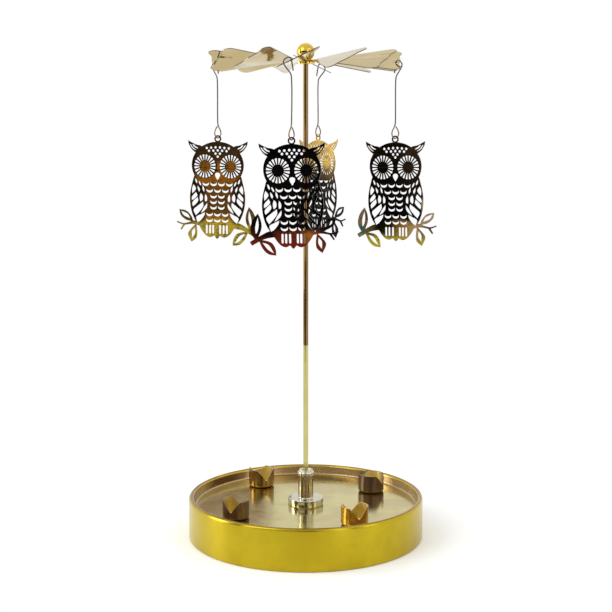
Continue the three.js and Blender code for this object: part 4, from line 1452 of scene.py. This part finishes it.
@dataclass
class PiercedOwls:
    """The four pierced plates. Their drawing is in units from the middle of the ring, with Y down.

    Attributes:
        unit: Size of a drawing unit in millimetres, down the plate.
        unit_across: The same across the plate.
        inset: Distance in units by which each feather cell is narrowed all round.
        thickness: Thickness of the plate in millimetres.
        hang_tilt: Turn in degrees that brings the plate's weight under its ring.
        ring_height: Height of the ring's middle at rest.
        place_radius: Distance of the rings from the carousel's axis.
        rib: Width in units of the ribs between the slots of an eye.
    """

    unit: float = 0.0543
    unit_across: float = 0.05828
    inset: float = 1.8
    thickness: float = 0.5
    hang_tilt: float = 0.9765
    ring_height: float = 219.532
    place_radius: float = HANGER_RING
    rib: float = 12

    @staticmethod
    def areas() -> list[Outline]:
        """Outlines of the solid parts: ring, head, body, ears, limb, twig and leaves."""
        body = [
            (0, 250), (217, 356), (245, 432), (266, 531), (271, 614), (263, 692), (244, 763), (218, 819),
            (186, 856), (164, 900), (130, 951), (96, 981), (62, 989), (28, 974), (14, 992), (0, 1005),
        ]
        body += mirrored(body[1:-1])
        ear = [
            (120, 112), (165, 72), (210, 62), (254, 42), (290, 21),
            (286, 52), (270, 86), (244, 120), (205, 146), (160, 150),
        ]
        limb = [
            (-130, 822), (-221, 842), (-271, 868), (-332, 903), (-385, 937), (-378, 955), (-365, 973),
            (-309, 940), (-243, 909), (-130, 890),
        ]
        twig = [
            (130, 806), (230, 826), (287, 846), (337, 856), (396, 838), (400, 850), (341, 873), (365, 917),
            (354, 924), (318, 873), (238, 862), (130, 890),
        ]
        leaves = [
            smoothed([(-332, 930), (-375, 850), (-373, 780), (-345, 715), (-309, 672),
                      (-284, 740), (-280, 810), (-304, 880)], (0, 4)),
            smoothed([(-306, 922), (-250, 925), (-190, 950), (-158, 1010), (-154, 1067),
                      (-220, 1055), (-270, 1005)], (0, 4)),
            smoothed([(236, 838), (262, 775), (310, 728), (377, 716), (362, 775), (310, 820)], (0, 3)),
            smoothed([(208, 858), (256, 905), (288, 960), (255, 1044), (206, 1000), (198, 940)], (0, 3)),
        ]
        return [
            ellipse((0, 0), 33.5, 36, 32),
            ellipse((0, 264), 254, 235, 72),
            smoothed(body, (0, 15), 4),
            smoothed(ear, (0, 4)),
            smoothed(mirrored(ear), (5, 9)),
            smoothed(limb, (0, 4, 6, 9), 4),
            smoothed(twig, (0, 4, 5, 6, 7, 8, 9, 11), 4),
            *leaves,
        ]

    def wing_cells(self) -> list[Outline]:
        """Feather cells of the wing on the limb's side."""
        cells = (
            ((-224, 398), (-210, 404), (-196, 440), (-204, 454), (-219, 432)),
            ((-190, 424), (-176, 428), (-158, 464), (-166, 476), (-182, 454)),
            ((-238, 456), (-210, 500), (-226, 532), (-251, 556), (-254, 505)),
            ((-199, 464), (-170, 510), (-181, 541), (-196, 508)),
            ((-150, 458), (-127, 505), (-131, 541), (-150, 507)),
            ((-211, 534), (-196, 570), (-224, 606), (-255, 624), (-254, 586)),
            ((-168, 544), (-145, 566), (-144, 614), (-170, 636), (-178, 592)),
            ((-120, 548), (-100, 584), (-104, 626), (-125, 630), (-127, 586)),
            ((-195, 584), (-187, 624), (-214, 662), (-244, 688), (-250, 644)),
            ((-140, 630), (-136, 676), (-172, 732), (-213, 776), (-238, 718), (-202, 680)),
            ((-98, 638), (-101, 690), (-131, 729), (-167, 754), (-141, 698)),
            ((-119, 736), (-127, 772), (-164, 824), (-196, 846), (-211, 790), (-166, 760)),
        )
        return [narrowed(smoothed(cell, (0, 2 if len(cell) == 4 else 3), 4), self.inset) for cell in cells]

    def eye_slots(self) -> list[Outline]:
        """Radial slots of the eye on the twig's side."""
        centre, pupil, rim, crown = (125, 275), (54, 58), (103, 114), (106, 117)
        count, slots = 20, []
        for i in range(count):
            middle = 2 * math.pi * (i + 0.5) / count
            corners = []
            for side, (radius_x, radius_y) in ((-1, pupil), (-1, rim), (0, crown), (1, rim), (1, pupil)):
                angle = middle + side * (math.pi / count - self.rib / radius_x / 2)
                corners.append((centre[0] + radius_x * math.cos(angle), centre[1] + radius_y * math.sin(angle)))
            slots.append(corners)
        return slots

    def cut_outs(self) -> list[Outline]:
        """Outlines of all that is pierced."""
        dot_step, smile_step, toe_radius = 43, 77, 9.5
        dots = []
        for count, y, sag in ((6, 84, 0.09), (5, 116, 0.06), (2, 148, 0), (1, 178, 0)):
            for i in range(count):
                x = (i - (count - 1) / 2) * dot_step
                dots.append(ellipse((x, y + sag * abs(x)), 11.8, 12.4, 12))
        smiles = []
        for count, y in ((4, 448), (3, 513), (2, 571), (2, 628), (2, 683), (3, 752), (3, 812)):
            for i in range(count):
                x = (i - (count - 1) / 2) * smile_step
                smile = [(-33, -14), (-15, 3), (15, 3), (33, -14), (28, 13), (0, 26), (-28, 13)]
                smiles.append(smoothed([(x + dx, y + dy) for dx, dy in smile], (0, 3), 4))
        toes = []
        for x in (-95, -63, -28, 40, 70, 103):
            toes.append([*arc((x, 872), toe_radius, 180, 360, 6), *arc((x, 944), toe_radius, 0, 180, 6)])
        beak = [(0, 336), (22, 346), (25, 366), (12, 394), (0, 414), (-12, 394), (-25, 366), (-22, 346)]
        long_slot = [(274, 54), (268, 72), (250, 98), (222, 116), (208, 118), (228, 104), (248, 84), (262, 62)]
        short_slot = [(250, 58), (240, 78), (218, 94), (192, 102), (196, 92), (220, 78), (236, 60)]
        ears = [smoothed(long_slot, (0, 4), 4), smoothed(short_slot, (0, 3), 4)]
        pairs = [*ears, *self.wing_cells(), *self.eye_slots()]
        leaf_slits = [
            smoothed([(-333, 868), (-336, 800), (-311, 706), (-304, 780), (-316, 840)], (0, 2), 4),
            smoothed([(-276, 944), (-222, 965), (-172, 1046), (-226, 1012)], (0, 2), 4),
            smoothed([(268, 806), (290, 764), (360, 730), (336, 774)], (0, 2), 4),
            smoothed([(222, 898), (250, 935), (250, 1006), (220, 955)], (0, 2), 4),
        ]
        ring = ellipse((0, 0), 20.5, 22, 28)
        others = [smoothed(beak, (4,)), *dots, *smiles, *toes, *leaf_slits]
        return [ring, *others, *pairs, *[mirrored(pair) for pair in pairs]]

    def plate(self) -> Object:
        """One pierced plate, upright and facing -Y, with its ring's middle at the origin."""
        def drawn(outlines: Sequence[Outline]) -> list[Outline]:
            """Outlines in millimetres, with Y up."""
            return [[(x * self.unit_across, -y * self.unit) for x, y in outline] for outline in outlines]

        whole, *others = [Bench.sheet("area", [area], self.thickness) for area in drawn(self.areas())]
        Bench.combine(whole, others, Join.ADD)
        cutter = Bench.joined([Bench.sheet("cut", [cut], self.thickness + 2) for cut in drawn(self.cut_outs())])
        Bench.combine(whole, [cutter], Join.CUT)
        Bench.bevel(whole, width=0.05, segments=1, angle=60)
        return Bench.placed(whole, tip_about_x(90) @ turn_about_z(self.hang_tilt))

    def build(self, box: Paintbox) -> None:
        """Copies the plate to its four places, each with its own tint."""
        model = self.plate()
        for index, (turn, finish) in enumerate(zip(OWL_TURNS, OWL_FINISHES)):
            place = Vector((*polar(self.place_radius, 90 * index), self.ring_height))
            piece = Bench.copied(model, f"pierced_owl_{index + 1}")
            Bench.placed(piece, Matrix.Translation(place) @ turn_about_z(turn))
            across = turn_about_z(turn).to_3x3() @ Vector((1, 0, 0))
            low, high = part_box(f"owl_{index + 1}")
            tints = [box.tinted(finish, (low.z, high.z), place * MILLIMETRE, across)]
            fit_on(
                piece, tints, f"owl_{index + 1}", "heat_tinted_gold", f"owl_{index + 1}", smooth_angle=35
            )
        bpy.data.objects.remove(model)


@dataclass
class HiddenFixings:
    """The small steel pieces inside and under the carousel, which keep their CAD solids."""

    nodes: tuple[str, ...] = ("foot_screw", "foot_washer", "rod_joint_stud", "pivot_needle", "bearing_cup")

    def build(self, box: Paintbox) -> None:
        """Gives each fixing its plain steel."""
        steel = box.metal(FIXING_STEEL)
        for node in self.nodes:
            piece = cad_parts[node]
            piece.data.materials.clear()
            piece.data.materials.append(steel)
            log.info("%s keeps its solid", node)


@dataclass
class Studio:
    """Pale floor, white surroundings, soft lamps and the camera at the photograph's angle.

    Attributes:
        camera_place: Place of the camera in metres.
        azimuth: Turn of the camera's view about the upright, in degrees.
        pitch: Tilt of the view above the horizon, in degrees.
        lens: Focal length in millimetres on the sensor.
        sensor: Width of the sensor in millimetres.
        shift: Sideways shift of the frame.
        aim: Place that the lamps and the cards face, in metres.
        light: Strength of the white surroundings as a light.
        floor_radius: Radius of the floor in metres.
        floor_fade: Distances from the axis in metres over which the floor turns plain white.
    """

    camera_place: tuple[float, float, float] = (0.10697, -0.71824, 0.23295)
    azimuth: float = 8.3593
    pitch: float = -8.159
    lens: float = 78.864
    sensor: float = 36
    shift: float = -0.0038
    aim: tuple[float, float, float] = (0, 0, 0.13)
    light: float = 0.95
    floor_radius: float = 3
    floor_fade: Point = (0.07, 0.2)

    def camera(self) -> None:
        """Sets up the camera."""
        data = bpy.data.cameras.new("camera")
        camera = bpy.data.objects.new("camera", data)
        bpy.context.scene.collection.objects.link(camera)
        data.sensor_width = self.sensor
        data.lens = self.lens
        data.shift_x = self.shift
        data.clip_start = 0.01
        camera.matrix_world = (
            Matrix.Translation(self.camera_place) @ turn_about_z(self.azimuth) @ tip_about_x(90 + self.pitch)
        )
        bpy.context.scene.camera = camera

    def facing(self, place: tuple[float, float, float], front: str) -> Matrix:
        """Stand at a place with the front axis towards the carousel."""
        turn = (Vector(self.aim) - Vector(place)).to_track_quat(front, "Y")
        return Matrix.Translation(place) @ turn.to_matrix().to_4x4()

    def lamp(self, name: str, place: tuple[float, float, float], size: Point, power: float) -> None:
        """Adds a soft rectangular lamp that faces the carousel.

        Args:
            name: Name of the lamp.
            place: Place in metres.
            size: Width and height in metres.
            power: Power in watts.
        """
        data = bpy.data.lights.new(name, "AREA")
        data.shape = "RECTANGLE"
        data.size, data.size_y = size
        data.energy = power
        lamp = bpy.data.objects.new(name, data)
        bpy.context.scene.collection.objects.link(lamp)
        lamp.matrix_world = self.facing(place, "-Z")

    def dark_card(self, name: str, place: tuple[float, float, float], size: Point, tone_code: str) -> None:
        """Adds a dark card that only reflections show, to shape the metal.

        Args:
            name: Name of the card.
            place: Place of its middle in metres.
            size: Width and height in metres.
            tone_code: Screen colour of the card.
        """
        Bench.pick()
        bpy.ops.mesh.primitive_plane_add(size=1)
        card = bpy.context.object
        card.name = name
        card.matrix_world = self.facing(place, "Z") @ Matrix.Diagonal((*size, 1, 1))
        material, wiring, shader = new_material(name)
        wiring.tree.nodes.remove(shader)
        glow = wiring.node("Emission", {"Color": tone(tone_code)}).outputs["Emission"]
        wiring.feed(wiring.tree.nodes["Material Output"], {"Surface": glow})
        card.data.materials.append(material)
        for rays in ("camera", "diffuse", "shadow", "transmission"):
            setattr(card, f"visible_{rays}", False)

    @staticmethod
    def seen(wiring: Wiring) -> NodeSocket:
        """1 for the rays that show the background: straight, mirrored and through glass."""
        path = wiring.node("LightPath", {})
        value = path.outputs["Is Camera Ray"]
        for label in ("Is Glossy Ray", "Is Transmission Ray"):
            value = wiring.math("MAXIMUM", value, path.outputs[label])
        return value

    def surroundings(self) -> None:
        """White world that lights the carousel at a plain level."""
        world = bpy.data.worlds.new("surroundings")
        bpy.context.scene.world = world
        world.use_nodes = True
        wiring = Wiring(world.node_tree)
        strength = wiring.level(self.seen(wiring), self.light, 1)
        wiring.feed(world.node_tree.nodes["Background"], {"Color": (1, 1, 1, 1), "Strength": strength})

    def floor(self) -> None:
        """Pale floor that keeps the shadow near the carousel and fades to white further out."""
        Bench.pick()
        under_hem = (0, 0, -0.0002)
        bpy.ops.mesh.primitive_circle_add(
            vertices=96, radius=self.floor_radius, fill_type="NGON", location=under_hem
        )
        floor = bpy.context.object
        floor.name = "floor"
        material, wiring, shader = new_material("pale_floor")
        wiring.feed(shader, {"Base Color": (0.97, 0.97, 0.965, 1), "Roughness": 0.9, "Specular IOR Level": 0.1})
        place = wiring.node("TexCoord", {}).outputs["Object"]
        from_axis = wiring.vector("LENGTH", "Value", place)
        share = wiring.math("MULTIPLY", wiring.fade(from_axis, *self.floor_fade), self.seen(wiring))
        white = wiring.node("Emission", {"Color": (1, 1, 1, 1)}).outputs["Emission"]
        mix = wiring.node("MixShader", {"Fac": share, 1: shader.outputs["BSDF"], 2: white})
        wiring.feed(wiring.tree.nodes["Material Output"], {"Surface": mix.outputs["Shader"]})
        floor.data.materials.append(material)

    def build(self) -> None:
        """Sets the whole stage."""
        self.camera()
        self.surroundings()
        self.floor()
        for name, place, size, power in (
            ("key", (-0.85, -0.85, 0.98), (0.9, 0.9), 6),
            ("fill", (0.95, -0.6, 0.55), (0.9, 1.1), 3),
            ("side", (-0.99, -0.12, 0.3), (0.3, 0.7), 4),
        ):
            self.lamp(name, place, size, power)
        for name, place, size, tone_code in (
            ("card_left", (-0.62, -0.32, 0.2), (0.22, 0.9), "241a10"),
            ("card_right", (0.62, -0.42, 0.2), (0.2, 0.9), "4a3820"),
            ("card_front", (0.0975, -0.55, 0.2), (0.205, 0.44), "3a2812"),
            ("card_front_low", (-0.2275, -0.55, 0.044), (0.445, 0.088), "3a2812"),
            ("card_front_high", (-0.2275, -0.55, 0.318), (0.445, 0.205), "3a2812"),
            ("card_back", (-0.245, 1.0, 0.315), (0.09, 0.12), "8a6a58"),
        ):
            self.dark_card(name, place, size, tone_code)
        bpy.context.scene.view_settings.view_transform = "Standard"


def main() -> None:
    """Builds the stage and the carousel's pieces in order."""
    logging.basicConfig(level=logging.INFO, format="%(name)s: %(message)s")
    box = Paintbox()
    Studio().build()
    for part in (TrayDrum(), CandleCups(), Foot(), Rod(), Hub(), BladedWheel(), Hangers(), PiercedOwls()):
        part.build(box)
    HiddenFixings().build(box)


if __name__ == "__main__":
    main()
